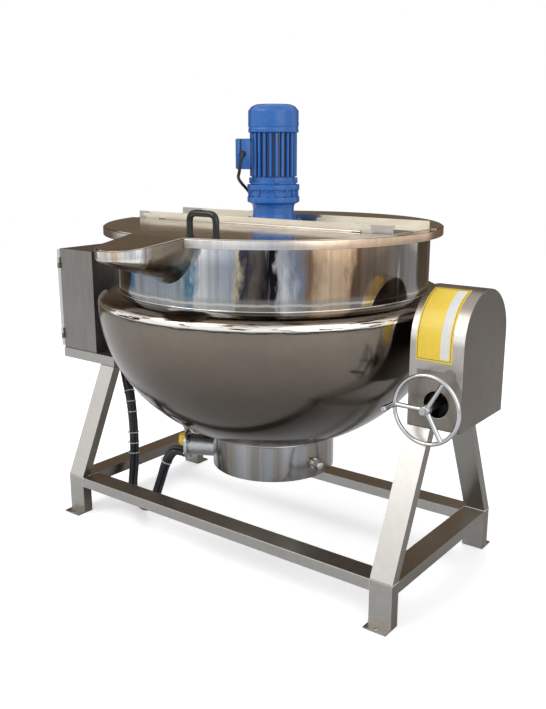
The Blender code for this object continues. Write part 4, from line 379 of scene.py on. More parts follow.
def mixed(tree, factor, first, second, blend="MIX"):
    """Two colours mixed by a factor."""
    values = {0: factor, 6: first, 7: second}
    return node(tree, "Mix", values, data_type="RGBA", blend_type=blend).outputs[2]


def mapped(tree, value, low, high, start=0.0, end=1.0, shape="SMOOTHSTEP"):
    """A value eased from one range into another."""
    inputs = {"Value": value, "From Min": low, "From Max": high, "To Min": start, "To Max": end}
    return node(tree, "MapRange", inputs, interpolation_type=shape).outputs["Result"]


def mapped_evenly(tree, value, low, high, start=0.0, end=1.0):
    """A value moved in a straight line from one range into another."""
    return mapped(tree, value, low, high, start, end, "LINEAR")


def math_node(tree, operation, first, second=0.0):
    """A sum, product or other step on values."""
    return node(tree, "Math", {0: first, 1: second}, operation=operation).outputs[0]


def product(tree, first, second):
    """Two values multiplied."""
    return math_node(tree, "MULTIPLY", first, second)


def stretched(tree, vector, factors):
    """A vector multiplied by another, part by part."""
    return node(tree, "VectorMath", {0: vector, 1: factors}, operation="MULTIPLY").outputs[0]


def coordinate(tree, kind):
    """The place in the object, or the surface's direction."""
    return node(tree, "TexCoord").outputs[kind]


def parts_of(tree, kind):
    """The X, Y and Z of a coordinate."""
    return node(tree, "SeparateXYZ", {0: coordinate(tree, kind)}).outputs


def noise(tree, place, scale, detail, roughness):
    """Fractal noise at a place."""
    inputs = {"Vector": place, "Scale": scale, "Detail": detail, "Roughness": roughness}
    return node(tree, "TexNoise", inputs).outputs["Fac"]


def ramp(tree, value, stops):
    """A colour ramp through (place, screen colour) stops."""
    made = node(tree, "ValToRGB", {"Fac": value})
    elements = made.color_ramp.elements
    elements.remove(elements[1])
    elements[0].position = stops[0][0]
    elements[0].color = rgba(linear(*stops[0][1]))
    for place, shade in stops[1:]:
        elements.new(place).color = rgba(linear(*shade))
    return made.outputs["Color"]


def group(name, inputs, outputs):
    """A new node group with its sockets, and its input and output nodes."""
    tree = bpy.data.node_groups.new(name, "ShaderNodeTree")
    for label, kind, default in inputs:
        tree.interface.new_socket(label, in_out="INPUT", socket_type=kind).default_value = default
    for label, kind in outputs:
        tree.interface.new_socket(label, in_out="OUTPUT", socket_type=kind)
    return tree, tree.nodes.new("NodeGroupInput"), tree.nodes.new("NodeGroupOutput")


def grain_group():
    """Noise drawn out along one direction, as brushing leaves it."""
    tree, start, end = group(
        "grain", (("Stretch", "NodeSocketVector", (1, 1, 1)), ("Scale", "NodeSocketFloat", 1.0)),
        (("Value", "NodeSocketFloat"),))
    drawn = stretched(tree, coordinate(tree, "Object"), start.outputs["Stretch"])
    value = noise(tree, drawn, start.outputs["Scale"], 4, 0.6)
    tree.links.new(value, end.inputs["Value"])


def painted_facing_shade_group():
    """A colour with painted shade and painted reflection: tinted where the surface faces up, where it faces
    down and where it faces the end along X.
    """
    names = ("Colour", "Up Tint", "Down Tint", "End Tint")
    tree, start, end = group(
        "slope", [(label, "NodeSocketColor", (1, 1, 1, 1)) for label in names],
        (("Colour", "NodeSocketColor"),))
    facing = parts_of(tree, "Normal")
    shade = start.outputs["Colour"]
    tints = (("Z", 0.2, 0.9, "Up Tint"), ("Z", -0.05, -0.8, "Down Tint"), ("X", 0.4, 0.9, "End Tint"))
    for axis, low, high, tint in tints:
        facing_share = mapped(tree, facing[axis], low, high)
        shade = mixed(tree, facing_share, shade, start.outputs[tint], "MULTIPLY")
    tree.links.new(shade, end.inputs["Colour"])


def dust_group():
    """A mask of fine dust and wiped patches."""
    defaults = (("Scale", 4.0), ("Low", 0.4), ("High", 0.7))
    tree, start, end = group(
        "dust", [(label, "NodeSocketFloat", default) for label, default in defaults],
        (("Mask", "NodeSocketFloat"),))
    clouds = noise(tree, coordinate(tree, "Object"), start.outputs["Scale"], 6, 0.65)
    mask = mapped(tree, clouds, start.outputs["Low"], start.outputs["High"])
    tree.links.new(mask, end.inputs["Mask"])


def placed(tree, name, **inputs):
    """A node group placed in a material with its own values."""
    values = {key.replace("_", " "): value for key, value in inputs.items()}
    return node(tree, "Group", values, node_tree=bpy.data.node_groups[name]).outputs[0]


def finish_surface(tree, shader, shade, roughness, stretch, scale, contrast, bump, spread=0.08):
    """The part that every material shares: brushing in colour, dust in roughness, relief in the normal."""
    grain = placed(tree, "grain", Stretch=stretch, Scale=scale)
    light = mapped(tree, grain, 0.3, 0.7, 1 - contrast, 1.0)
    tree.links.new(mixed(tree, 1.0, shade, light, "MULTIPLY"), shader.inputs["Base Color"])
    dust = placed(tree, "dust", Scale=5.0, Low=0.35, High=0.7)
    tree.links.new(mapped(tree, dust, 0.0, 1.0, roughness, roughness + spread), shader.inputs["Roughness"])
    relief = node(tree, "Bump", {"Strength": bump, "Distance": 0.001, "Height": grain})
    tree.links.new(relief.outputs["Normal"], shader.inputs["Normal"])


def metal(tree, shader, tone, roughness, up=(0.8, 0.76, 0.72), down=(0.6, 0.57, 0.54), end=(1, 1, 1),
          stretch=(1, 1, 1), scale=60.0, contrast=0.12, bump=0.05):
    """Bare or plated metal, with painted shade and painted reflection tints where it faces up, down and along
    X.
    """
    shader.inputs["Metallic"].default_value = 1.0
    shade = placed(tree, "slope", Colour=rgba(tone), Up_Tint=rgba(up), Down_Tint=rgba(down),
                   End_Tint=rgba(end))
    finish_surface(tree, shader, shade, roughness, stretch, scale, contrast, bump)


def plastic(tree, shader, tone, roughness, scale=80.0, contrast=0.15, bump=0.05, coat=0.0, dusty=0.10):
    """Plastic, rubber or enamel."""
    if coat:
        shader.inputs["Coat Weight"].default_value = coat
        shader.inputs["Coat Roughness"].default_value = 0.12
    dust = placed(tree, "dust", Scale=9.0, Low=0.45, High=0.8)
    shade = mixed(tree, mapped(tree, dust, 0.0, 1.0, 0.0, dusty), rgba(tone), rgba(linear(170, 165, 155)))
    finish_surface(tree, shader, shade, roughness, (1, 1, 1), scale, contrast, bump)


def round_streaks(tree, scale, drawn):
    """Noise that changes round the kettle and hardly down it, read from the surface's own direction."""
    across = stretched(tree, coordinate(tree, "Normal"), (1, 1, drawn))
    return noise(tree, across, scale, 3, 0.55)


# Heights between which the wall's foot turns light as a painted reflection band, and its thin painted
# highlight line begins and ends
FOOT_REFLECTION_BAND = (1.004, 0.990)
FOOT_HIGHLIGHT_TOP = (0.986, 0.981)
FOOT_HIGHLIGHT_LOW = (0.974, 0.978)


def wall(tree, shader, tone, roughness):
    """The polished upright wall: painted reflections that change round it, painted reflection streaks and
    highlights, a painted reflection band and highlight line at its foot.
    """
    shader.inputs["Metallic"].default_value = 1.0
    facing = parts_of(tree, "Normal")
    # Painted reflections that change round the wall, by the way each part faces.
    round_angle = math_node(tree, "ARCTAN2", facing["Y"], facing["X"])
    bend = placed(tree, "grain", Stretch=(1, 1, 0.35), Scale=14.0)
    wavy = math_node(tree, "ADD", round_angle, mapped_evenly(tree, bend, 0.3, 0.7, -0.05, 0.05))
    first, last = WALL_PAINTED_REFLECTIONS[0][0], WALL_PAINTED_REFLECTIONS[-1][0]
    share = mapped_evenly(tree, wavy, math.radians(first), math.radians(last))
    shade = ramp(tree, share, [((angle - first) / (last - first), tint) for angle, tint in WALL_PAINTED_REFLECTIONS])
    # Painted reflection streaks, darker in places.
    reflection_streaks = mapped(tree, round_streaks(tree, 26.0, 0.2), 0.32, 0.58, 0.66, 1.0)
    shade = mixed(tree, 0.8, shade, reflection_streaks, "MULTIPLY")
    # Painted highlights: bright glints.
    glints = mapped(tree, placed(tree, "grain", Stretch=(1, 1, 0.06), Scale=30.0), 0.60, 0.72, 0.0, 0.75)
    shade = mixed(tree, glints, shade, rgba(linear(238, 236, 230)))
    # A painted reflection band at the wall's foot, and a thin painted highlight line.
    sway = mapped_evenly(tree, bend, 0.35, 0.65, -0.0025, 0.0025)
    height = math_node(tree, "ADD", parts_of(tree, "Object")["Z"], sway)
    foot = mapped(tree, height, *FOOT_REFLECTION_BAND, 0.0, 0.50)
    shade = mixed(tree, foot, shade, rgba(linear(168, 164, 158)))
    line = product(tree, mapped(tree, height, *FOOT_HIGHLIGHT_TOP), mapped(tree, height, *FOOT_HIGHLIGHT_LOW))
    shade = mixed(tree, product(tree, line, 0.6), shade, rgba(linear(240, 236, 226)))
    inside = math_node(tree, "LESS_THAN", facing["Z"], -0.02)
    shade = mixed(tree, inside, shade, rgba(tone))
    finish_surface(tree, shader, shade, roughness, (1, 1, 0.05), 40.0, 0.08, 0.02, 0.05)


def spout(tree, shader, tone, roughness):
    """The spout: smooth warm grey below with painted shade, a painted highlight on its side and a bright
    painted reflection band round the nose.
    """
    shader.inputs["Metallic"].default_value = 1.0
    facing = parts_of(tree, "Normal")["Z"]
    clouds = placed(tree, "dust", Scale=7.0, Low=0.42, High=0.66)
    shade = mixed(tree, clouds, rgba(tone), rgba(linear(168, 160, 148)))
    # Painted shade and a painted highlight by the way each part faces: brightest where it faces sideways.
    depth = ramp(tree, mapped_evenly(tree, facing, -1.0, 1.0), (
        (0.0, (196, 190, 182)), (0.3, (226, 222, 216)), (0.5, (250, 246, 240)),
        (0.75, (190, 182, 172)), (1.0, (170, 160, 150))))
    shade = mixed(tree, 1.0, shade, depth, "MULTIPLY")
    # A painted reflection band of bright streaks round the nose.
    ahead = mapped(tree, parts_of(tree, "Object")["Y"], -0.606, -0.640)
    nose = product(tree, ahead, mapped(tree, facing, -0.45, -0.25))
    reflection_streaks = ramp(tree, placed(tree, "grain", Stretch=(1, 1, 0.05), Scale=24.0), (
        (0.34, (150, 140, 130)), (0.45, (206, 206, 208)), (0.52, (246, 246, 244)), (0.62, (216, 190, 160))))
    shade = mixed(tree, nose, shade, reflection_streaks)
    finish_surface(tree, shader, shade, roughness, (1, 1, 1), 9.0, 0.10, 0.02)


def jacket(tree, shader, tone, roughness):
    """The jacket: a bright painted highlight ring on its shoulder, broken by painted dark reflections, and
    smooth warm grey below, darker by painted shade towards the bottom.
    """
    shader.inputs["Metallic"].default_value = 1.0
    facing = parts_of(tree, "Normal")["Z"]
    reflection_streaks = round_streaks(tree, 9.0, 0.8)
    wavy = math_node(tree, "ADD", facing, mapped(tree, reflection_streaks, 0.3, 0.7, -0.015, 0.015))
    # Painted light by the way each part faces: a dark thin band and a bright painted highlight ring on the
    # shoulder, a painted dark reflection on its top, painted shade darker below.
    shade = ramp(tree, mapped_evenly(tree, wavy, -1.0, 1.0), (
        (0.0, (84, 80, 75)), (0.25, (98, 92, 85)), (0.42, (122, 114, 104)), (0.505, (136, 127, 116)),
        (0.515, (58, 52, 48)), (0.535, (216, 210, 200)), (0.60, (246, 246, 244)), (0.74, (226, 218, 204)),
        (0.82, (120, 108, 96)), (0.90, (86, 78, 70)), (1.0, (112, 104, 95))))
    # Painted dark reflections that break the highlight ring.
    highlight_breaks = product(tree, mapped(tree, facing, 0.06, 0.14), mapped(tree, reflection_streaks, 0.54, 0.60))
    shade = mixed(tree, highlight_breaks, shade, rgba(linear(66, 54, 44)))
    finish_surface(tree, shader, shade, roughness, (1, 1, 1), 30.0, 0.05, 0.02, 0.06)


def housing(tree, shader, tone, roughness):
    """The heater housing: warm grey with a few broad bluish painted reflection bands."""
    shader.inputs["Metallic"].default_value = 1.0
    # Painted reflection bands that change round the housing.
    shade = ramp(tree, round_streaks(tree, 2.2, 0.0), (
        (0.34, (114, 110, 104)), (0.45, (140, 135, 128)), (0.54, (150, 154, 159)), (0.62, (170, 167, 161)),
        (0.70, (134, 128, 120))))
    finish_surface(tree, shader, shade, roughness, (1, 1, 0.1), 60.0, 0.08, 0.03)


def rim(tree, shader, tone, roughness):
    """The rim: light satin, with painted reflections that turn peach towards the right, and painted shade
    where it faces up and down.
    """
    shader.inputs["Metallic"].default_value = 1.0
    along = parts_of(tree, "Object")["X"]
    # Painted reflections along the rim: darker at the left, then silver, bluish and peach.
    shade = ramp(tree, mapped_evenly(tree, along, -0.55, 0.75), (
        (0.0, (160, 152, 142)), (0.56, (204, 200, 196)), (0.69, (234, 233, 232)), (0.77, (200, 202, 208)),
        (0.86, (234, 208, 182)), (0.95, (210, 182, 156))))
    # Painted shade where the rim faces up and where it faces down.
    shade = placed(tree, "slope", Colour=shade, Up_Tint=rgba((0.85, 0.82, 0.78)),
                   Down_Tint=rgba((0.4, 0.37, 0.35)))
    finish_surface(tree, shader, shade, roughness, (1, 1, 0.2), 34.0, 0.16, 0.03)


def motor(tree, shader, tone, roughness):
    """Blue enamel, with painted shade between the fins."""
    shader.inputs["Coat Weight"].default_value = 0.3
    axis = Vector(KETTLE + SHIFT)
    place = coordinate(tree, "Object")
    away = node(tree, "VectorMath", {0: place, 1: axis}, operation="SUBTRACT").outputs[0]
    flat = stretched(tree, away, (1, 1, 0))
    reach = node(tree, "VectorMath", {0: flat}, operation="LENGTH").outputs["Value"]
    # Painted shade: dark blue towards the roots between the fins.
    fin_gap_shade = mapped(tree, reach, 0.0750, 0.0815)
    shade = mixed(tree, fin_gap_shade, rgba(linear(10, 34, 84)), rgba(tone))
    finish_surface(tree, shader, shade, roughness, (1, 1, 1), 90.0, 0.12, 0.08)


def film(tree, shader, tone, roughness):
    """Cream protective film with ragged ends where it is torn off the steel."""
    place = parts_of(tree, "Object")
    ragged = placed(tree, "grain", Stretch=(1, 1, 3), Scale=14.0)
    along = math_node(tree, "ADD", place["X"], mapped(tree, ragged, 0.3, 0.7, -0.035, 0.035))
    front = product(tree, mapped(tree, along, -0.425, -0.42), mapped(tree, along, 0.545, 0.54))
    middle = math_node(tree, "ADD", mapped(tree, along, 0.02, 0.015), mapped(tree, along, 0.20, 0.205))
    rear = product(tree, middle, mapped(tree, along, -0.36, -0.355))
    behind = math_node(tree, "GREATER_THAN", place["Y"], 0.0995)
    before = math_node(tree, "SUBTRACT", 1.0, behind)
    covered = math_node(tree, "ADD", product(tree, rear, behind), product(tree, front, before))
    # Bare steel with painted shade where it faces up and where it faces down.
    bare_steel_painted_shade = placed(tree, "slope", Colour=rgba(linear(190, 186, 180)), Up_Tint=rgba((0.6, 0.56, 0.52)),
                  Down_Tint=rgba((0.5, 0.5, 0.5)))
    shade = mixed(tree, covered, bare_steel_painted_shade, rgba(tone))
    tree.links.new(mapped(tree, covered, 0.0, 1.0, 1.0, 0.0), shader.inputs["Metallic"])
    finish_surface(tree, shader, shade, roughness, (1, 4, 4), 9.0, 0.14, 0.25)


def gear_cover(tree, shader, tone, roughness):
    """Brushed cover: mid grey in front and lighter towards the top by painted light, a painted highlight at
    the bend, a painted dark reflection on its arch and painted shade on its right side.
    """
    shader.inputs["Metallic"].default_value = 1.0
    facing = parts_of(tree, "Normal")
    height = parts_of(tree, "Object")["Z"]
    # Front: painted light, lighter towards the top.
    front = ramp(tree, mapped_evenly(tree, height, 0.60, 0.90), (
        (0.0, (138, 131, 123)), (0.6, (150, 143, 135)), (1.0, (188, 182, 176))))
    # Arch: a painted highlight at the bend, a painted dark reflection over its top.
    arch = ramp(tree, facing["Z"], (
        (0.02, (188, 182, 176)), (0.14, (238, 235, 231)), (0.34, (214, 208, 201)), (0.60, (170, 162, 152)),
        (1.0, (160, 150, 140))))
    shade = mixed(tree, math_node(tree, "GREATER_THAN", facing["Z"], 0.02), front, arch)
    # Painted shade on the right side.
    shade = mixed(tree, mapped(tree, facing["X"], 0.3, 0.9), shade, rgba(linear(108, 100, 92)))
    finish_surface(tree, shader, shade, roughness, (3, 3, 0.4), 60.0, 0.10, 0.05)


# Painted reflections on the upright wall: degrees round the kettle, and the colour on screen there
WALL_PAINTED_REFLECTIONS = (
    (-135, (60, 74, 96)), (-114, (84, 72, 62)), (-108, (34, 106, 150)), (-104, (164, 170, 176)),
    (-81, (176, 186, 194)), (-79, (76, 142, 172)), (-77, (242, 243, 244)), (-66, (178, 186, 200)),
    (-64.5, (228, 216, 182)), (-63, (44, 48, 72)), (-60, (112, 104, 96)), (-55, (30, 30, 38)),
    (-52, (36, 34, 40)), (-50.5, (246, 246, 248)), (-46, (138, 148, 168)), (-41, (156, 126, 98)),
    (-36, (238, 208, 176)), (-30, (226, 192, 158)), (-27, (116, 94, 76)), (-14, (136, 122, 110)),
    (4, (156, 152, 148)), (18, (118, 120, 128)), (40, (172, 170, 166)),
)

# Each look: its material slot, the function that builds it, its colour, and that function's values.
# The jacket, heater housing, rim and gear cover have tones of their own, painted reflections and painted
# shade among them, and show that colour only in the viewport.
# The up, down and end values are painted shade and painted reflection tints by the way a surface faces.
LOOKS = {
    "stand steel": ("stainless", metal, "leg", dict(
        roughness=0.30, up=(0.8, 0.74, 0.68), down=(0.4, 0.37, 0.34), end=(0.36, 0.33, 0.30),
        contrast=0.05, scale=50.0)),
    "rail steel": ("stainless", metal, "rail", dict(
        roughness=0.32, end=(0.45, 0.41, 0.37), contrast=0.07, scale=50.0)),
    "sheet steel": ("stainless", metal, "steel", dict(roughness=0.32, stretch=(1, 1, 0.2))),
    "bowl wall": ("mirror", wall, "shell", dict(roughness=0.07)),
    "jacket": ("polished", jacket, "shell", dict(roughness=0.12)),
    "heater housing": ("polished", housing, "shell", dict(roughness=0.16)),
    "rim": ("polished", rim, "shell", dict(roughness=0.22)),
    "spout": ("polished", spout, "shell", dict(roughness=0.16)),
    "lid steel": ("mirror", metal, "lid", dict(
        roughness=0.09, up=(1, 1, 1), down=(0.8, 0.8, 0.8), scale=4.0, contrast=0.16, bump=0.02)),
    "bright steel": ("polished", metal, "steel", dict(roughness=0.16, up=(0.95, 0.93, 0.9))),
    "box": ("box_grey", metal, "box", dict(roughness=0.30, stretch=(1, 1, 0.15))),
    "gear cover": ("gear_cover", gear_cover, "cover", dict(roughness=0.30)),
    "turned steel": ("turned_steel", metal, "zinc", dict(roughness=0.25, stretch=(6, 1, 1), contrast=0.2)),
    "cast": ("cast", plastic, "iron", dict(roughness=0.55, contrast=0.3, bump=0.4)),
    "bronze": ("bronze", metal, "bronze", dict(roughness=0.3, up=(0.8, 0.8, 0.8))),
    "chrome": ("chrome", metal, "chrome", dict(
        roughness=0.10, up=(0.9, 0.9, 0.9), down=(0.22, 0.21, 0.20), contrast=0.04, bump=0.0)),
    "zinc": ("zinc", metal, "zinc", dict(roughness=0.24, up=(0.85, 0.84, 0.82))),
    "motor": ("blue_enamel", motor, "blue", dict(roughness=0.34)),
    "blue": ("blue_enamel", plastic, "blue", dict(roughness=0.32, coat=0.3, contrast=0.14, bump=0.1)),
    "film": ("film", film, "film", dict(roughness=0.38)),
    "yellow": ("yellow_plastic", plastic, "yellow", dict(roughness=0.35)),
    "label yellow": ("yellow_plastic", plastic, "label", dict(roughness=0.28, contrast=0.06)),
    "black gloss": ("black_plastic", plastic, "black", dict(roughness=0.12, bump=0.02, dusty=0.01)),
    "black": ("black_plastic", plastic, "black", dict(roughness=0.42, dusty=0.04)),
    "cable": ("cable", plastic, "cable", dict(roughness=0.40, bump=0.1)),
    "white": ("white_plastic", plastic, "white", dict(roughness=0.40, contrast=0.06)),
    "red": ("red_plastic", plastic, "red", dict(roughness=0.32)),
    "green": ("green_plastic", plastic, "green", dict(roughness=0.32)),
}


def material(look):
    """The material of this look, made on first use."""
    name = "finish " + look
    found = bpy.data.materials.get(name)
    if found:
        return found
    _, build, tone, values = LOOKS[look]
    made = bpy.data.materials.new(name)
    made.use_nodes = True
    tree = made.node_tree
    shade = tuple(getattr(bpy.context.scene.kettle_colours, tone))
    build(tree, tree.nodes["Principled BSDF"], shade, **values)
    made.diffuse_color = rgba(shade)
    return made


# Stage


FLOOR_HALF = 9.0
FLOOR_GLOW = 0.50
AIM = Vector((0.05, 0.1, 0.7))
# Each lamp: its name, place, width and power
LAMPS = (
    ("key", (-1.6, -3.6, 4.2), 4.0, 100.0),
    ("fill", (3.8, -1.4, 2.6), 4.0, 45.0),
    ("back", (-1.0, 3.6, 3.6), 2.2, 60.0),
)
# The dark card's half width, distance and height, and the two level directions it is set by
CARD_ACROSS, CARD_FAR, CARD_HIGH = 6.0, 3.4, 4.4
CARD_AWAY = np.array((-0.606, 0.795, 0.0))
CARD_SIDE = np.array((0.795, 0.606, 0.0))


def make_stage():
    """The camera at the photograph's angle, a pale floor, soft lamps, a dark card and the world."""
    scene = bpy.context.scene
    scene.view_settings.view_transform = "Standard"
    camera = bpy.data.objects.new("camera", bpy.data.cameras.new("camera"))
    camera.data.lens = 42.26
    camera.data.sensor_width = 36.0
    camera.data.clip_end = 60.0
    camera.location = (1.90435, -2.2954, 1.4357)
    camera.rotation_euler = (math.radians(76.1), 0.0, math.radians(37.3))
    scene.collection.objects.link(camera)
    scene.camera = camera

    mesh = bpy.data.meshes.new("floor")
    corners = [(FLOOR_HALF * x, FLOOR_HALF * y, 0) for x, y in ((-1, -1), (1, -1), (1, 1), (-1, 1))]
    mesh.from_pydata(corners, [], [(0, 1, 2, 3)])
    floor = bpy.data.objects.new("floor", mesh)
    floor.location.z = -0.0005
    scene.collection.objects.link(floor)
    mesh.materials.append(floor_material())

    for name, place, size, power in LAMPS:
        lamp = bpy.data.objects.new(name, bpy.data.lights.new(name, "AREA"))
        lamp.data.shape = "DISK"
        lamp.data.size = size
        lamp.data.energy = power
        lamp.location = place
        lamp.rotation_euler = (AIM - Vector(place)).to_track_quat("-Z", "Y").to_euler()
        lamp.visible_camera = False
        lamp.visible_glossy = name != "back"
        scene.collection.objects.link(lamp)
    dark_card()
    studio_world()


def dark_card():
    """A dark screen behind the kettle that only mirror-like surfaces see, as a photographer darkens steel."""
    corners = [CARD_AWAY * CARD_FAR + CARD_SIDE * CARD_ACROSS * x + UP * CARD_HIGH * z
               for x, z in ((-1, 0), (1, 0), (1, 1), (-1, 1))]
    mesh = bpy.data.meshes.new("dark_card")
    mesh.from_pydata([tuple(corner) for corner in corners], [], [(0, 1, 2, 3)])
    made = bpy.data.materials.new("dark_card")
    made.use_nodes = True
    tree = made.node_tree
    tree.nodes.clear()
    shade = rgba(tuple(bpy.context.scene.kettle_colours.dark_side))
    glow = node(tree, "Emission", {"Color": shade, "Strength": 1.0})
    output = node(tree, "OutputMaterial")
    tree.links.new(glow.outputs[0], output.inputs["Surface"])
    mesh.materials.append(made)
    card = bpy.data.objects.new("dark_card", mesh)
    card.visible_camera = False
    card.visible_diffuse = False
    card.visible_shadow = False
    bpy.context.scene.collection.objects.link(card)


def floor_material():
    """A white floor that still takes the object's shadow."""
    made = bpy.data.materials.new("floor")
    made.use_nodes = True
    tree = made.node_tree
    shader = tree.nodes["Principled BSDF"]
    shader.inputs["Roughness"].default_value = 0.9
    shader.inputs["Specular IOR Level"].default_value = 0.0
    shader.inputs["Base Color"].default_value = (0.86, 0.86, 0.86, 1)
    seen = node(tree, "LightPath").outputs["Is Camera Ray"]
    strength = product(tree, seen, FLOOR_GLOW)
    glow = node(tree, "Emission", {"Color": (1, 1, 1, 1), "Strength": strength})
    both = node(tree, "AddShader", {0: shader.outputs[0], 1: glow.outputs[0]})
    tree.links.new(both.outputs[0], tree.nodes["Material Output"].inputs["Surface"])
    return made


def studio_world():
    """White where the camera, gloss or glass looks, and a plain soft light elsewhere."""
    world = bpy.context.scene.world or bpy.data.worlds.new("studio")
    bpy.context.scene.world = world
    world.use_nodes = True
    tree = world.node_tree
    tree.nodes.clear()
    path = node(tree, "LightPath")
    seen = math_node(tree, "MAXIMUM", path.outputs["Is Camera Ray"], path.outputs["Is Glossy Ray"])
    seen = math_node(tree, "MAXIMUM", seen, path.outputs["Is Transmission Ray"])
    white = node(tree, "Background", {"Color": (1, 1, 1, 1), "Strength": 1.0})
    soft = node(tree, "Background", {"Color": (0.95, 0.97, 1, 1), "Strength": 0.62})
    both = node(tree, "MixShader", {0: seen, 1: soft.outputs[0], 2: white.outputs[0]})
    output = node(tree, "OutputWorld")
    tree.links.new(both.outputs[0], output.inputs["Surface"])


# Cables

PORT_ANGLE = math.radians(-152.0)
CABLE_ROUTE = (
    (-0.358, -0.199, 0.240), (-0.388, -0.208, 0.150), (-0.424, -0.212, 0.062), (-0.480, -0.205, 0.028),
    (-0.550, -0.180, 0.028), (-0.608, -0.146, 0.062), (-0.624, -0.120, 0.160), (-0.632, -0.108, 0.300),
    (-0.660, -0.090, 0.420), (-0.702, -0.068, 0.495),
)
CABLE_TOP = np.array((-0.721, -0.060, 0.5841))
CABLE_ENDS_STRAIGHT = 0.04
STRANDS = 3
# Where the ties sit, as shares of the cables' length, and their size
TIE_SHARES = (0.09, 0.27, 0.62, 0.66, 0.70, 0.78, 0.82, 0.86)
TIE_RADIUS = 0.0224
TIE_TUBE = 0.0016


def heater_cable_line():
    """The line of the heater's cables from their gland to the shelf."""
    out = outwards(PORT_ANGLE)
    start = KETTLE + out * 0.3546 + UP * 0.2915
    below_top = CABLE_TOP - UP * CABLE_ENDS_STRAIGHT
    return curve_through([start, start + out * CABLE_ENDS_STRAIGHT, *CABLE_ROUTE, below_top, CABLE_TOP], 150)


def make_heater_cables(sizes):
    """Cables side by side on a slowly turning ring round the line, with ties round them."""
    line = heater_cable_line()
    tangent = unit_rows(np.gradient(line, axis=0))
    side = frame_of(tangent[0])[0]
    first, second = [], []
    for along in tangent:
        side = unit(side - along * np.dot(side, along))
        first.append(side)
        second.append(np.cross(along, side))
    first, second = np.array(first), np.array(second)
    share = np.linspace(0, 1, len(line))
    apart = sizes.strand_radius * 1.16
    spread = apart * (0.98 + 0.06 * np.sin(share * 23))
    for i in range(STRANDS):
        turn = (TAU * i / STRANDS + 2.2 * share)[:, None]
        path = line + spread[:, None] * (np.cos(turn) * first + np.sin(turn) * second)
        replaced = ["power_cable"] if i == 0 else ()
        shape = tube(path, sizes.strand_radius, 16)
        strand = piece(f"heater_cable_{i + 1}", [shape], "stand", "cable", replaced)
    around = np.linspace(0, TAU, 48, endpoint=False)[:, None]
    for i, part in enumerate(TIE_SHARES):
        at = int(part * (len(line) - 1))
        loop = line[at] + TIE_RADIUS * (np.cos(around) * first[at] + np.sin(around) * second[at])
        piece(f"cable_tie_{i + 1}", [tube(loop, TIE_TUBE, 8, closed=True)], "stand", "white")


TERMINAL_ANGLE = math.radians(-138.0)
OUTWARD = outwards(TERMINAL_ANGLE)
ACROSS = beside(OUTWARD)
MOTOR_ROUTE = (
    (0.118, 0.062, 1.392), (0.122, 0.056, 1.360), (0.124, 0.020, 1.338), (0.112, -0.045, 1.318),
    (0.080, -0.092, 1.280), (0.060, -0.101, 1.230),
)
TERMINAL_MIDDLE = 1.4176


def by_terminal(out, sideways, height):
    """A place given outwards and sideways from the motor's axis, as the terminal box sees it."""
    return KETTLE + OUTWARD * out + ACROSS * sideways + UP * height


def make_motor_cable(sizes):
    """The motor's lead from the terminal box down into the channel."""
    start = by_terminal(0.1093, 0.0503, TERMINAL_MIDDLE)
    end = by_terminal(0.060, -0.102, 1.1879)
    between = [by_terminal(*spot) for spot in MOTOR_ROUTE]
    path = curve_through([start, start + ACROSS * 0.012, *between, end + UP * 0.02, end], 90)
    lead = piece("motor_lead", [tube(path, sizes.lead_radius, 16)], "kettle", "cable", ["motor_cable"])
    section = rounded([(0.0058, 0), (0.012, 0), (0.0105, 0.006), (0.0058, 0.006)], 0.001, closed=True)
    ring = turned(section, SMALL_STEPS, end - UP * 0.0063, closed=True)
    piece("channel_grommet", [ring], "kettle", "black", ["beam_grommet"])
    path = path + SHIFT


# Kettle

# The spout: its depth at the bowl and at the nose, where its top begins to fall, and by how much
SPOUT_DEPTH = 0.146
NOSE_DEPTH = 0.024
SPOUT_BEND = 0.585
SPOUT_FALL = 0.027
# The gap between pieces that meet, and the thickness of the jacket's and the housing's steel
FIT = 0.0003
SHELL = 0.004


def level_rows(radius, angle, height):
    """A row of places round the axis, with one radius and height or one for each angle."""
    return np.stack((radius * np.cos(angle), radius * np.sin(angle), np.broadcast_to(height, angle.shape)), 1)


def round_the_bowl(sizes):
    """The radius at which the jacket and the rim meet the bowl's outside."""
    return sizes.bowl_radius + sizes.sheet + FIT


def make_bowl(sizes):
    """The bowl, a half-ellipse with an upright wall cut down to the spout in front, as one closed shell."""
    angle = np.linspace(0, TAU, 288, endpoint=False)
    shells = []
    for radius, grow in ((sizes.bowl_radius + sizes.sheet, sizes.sheet), (sizes.bowl_radius, 0.0)):
        across = radius * np.cos(angle) / sizes.spout_root
        drop = SPOUT_DEPTH * np.sqrt(np.clip(1 - across ** 2, 0, 1)) * (np.sin(angle) < 0)
        t = np.linspace(math.pi / 2, 0, 28)
        heights = sizes.dish_top - (sizes.bowl_depth + grow) * np.sin(t)
        rows = [level_rows(reach, angle, height) for reach, height in zip(radius * np.cos(t), heights)]
        for share in np.linspace(0, 1, 9)[1:]:
            height = sizes.dish_top + (sizes.rim_top - drop - sizes.dish_top) * share
            rows.append(level_rows(radius, angle, height))
        shells.append(np.array(rows))
    points = np.concatenate((shells[0], shells[1][::-1])) + KETTLE
    piece("bowl", [grid(points)], "kettle", "bowl wall", ["inner_bowl"])


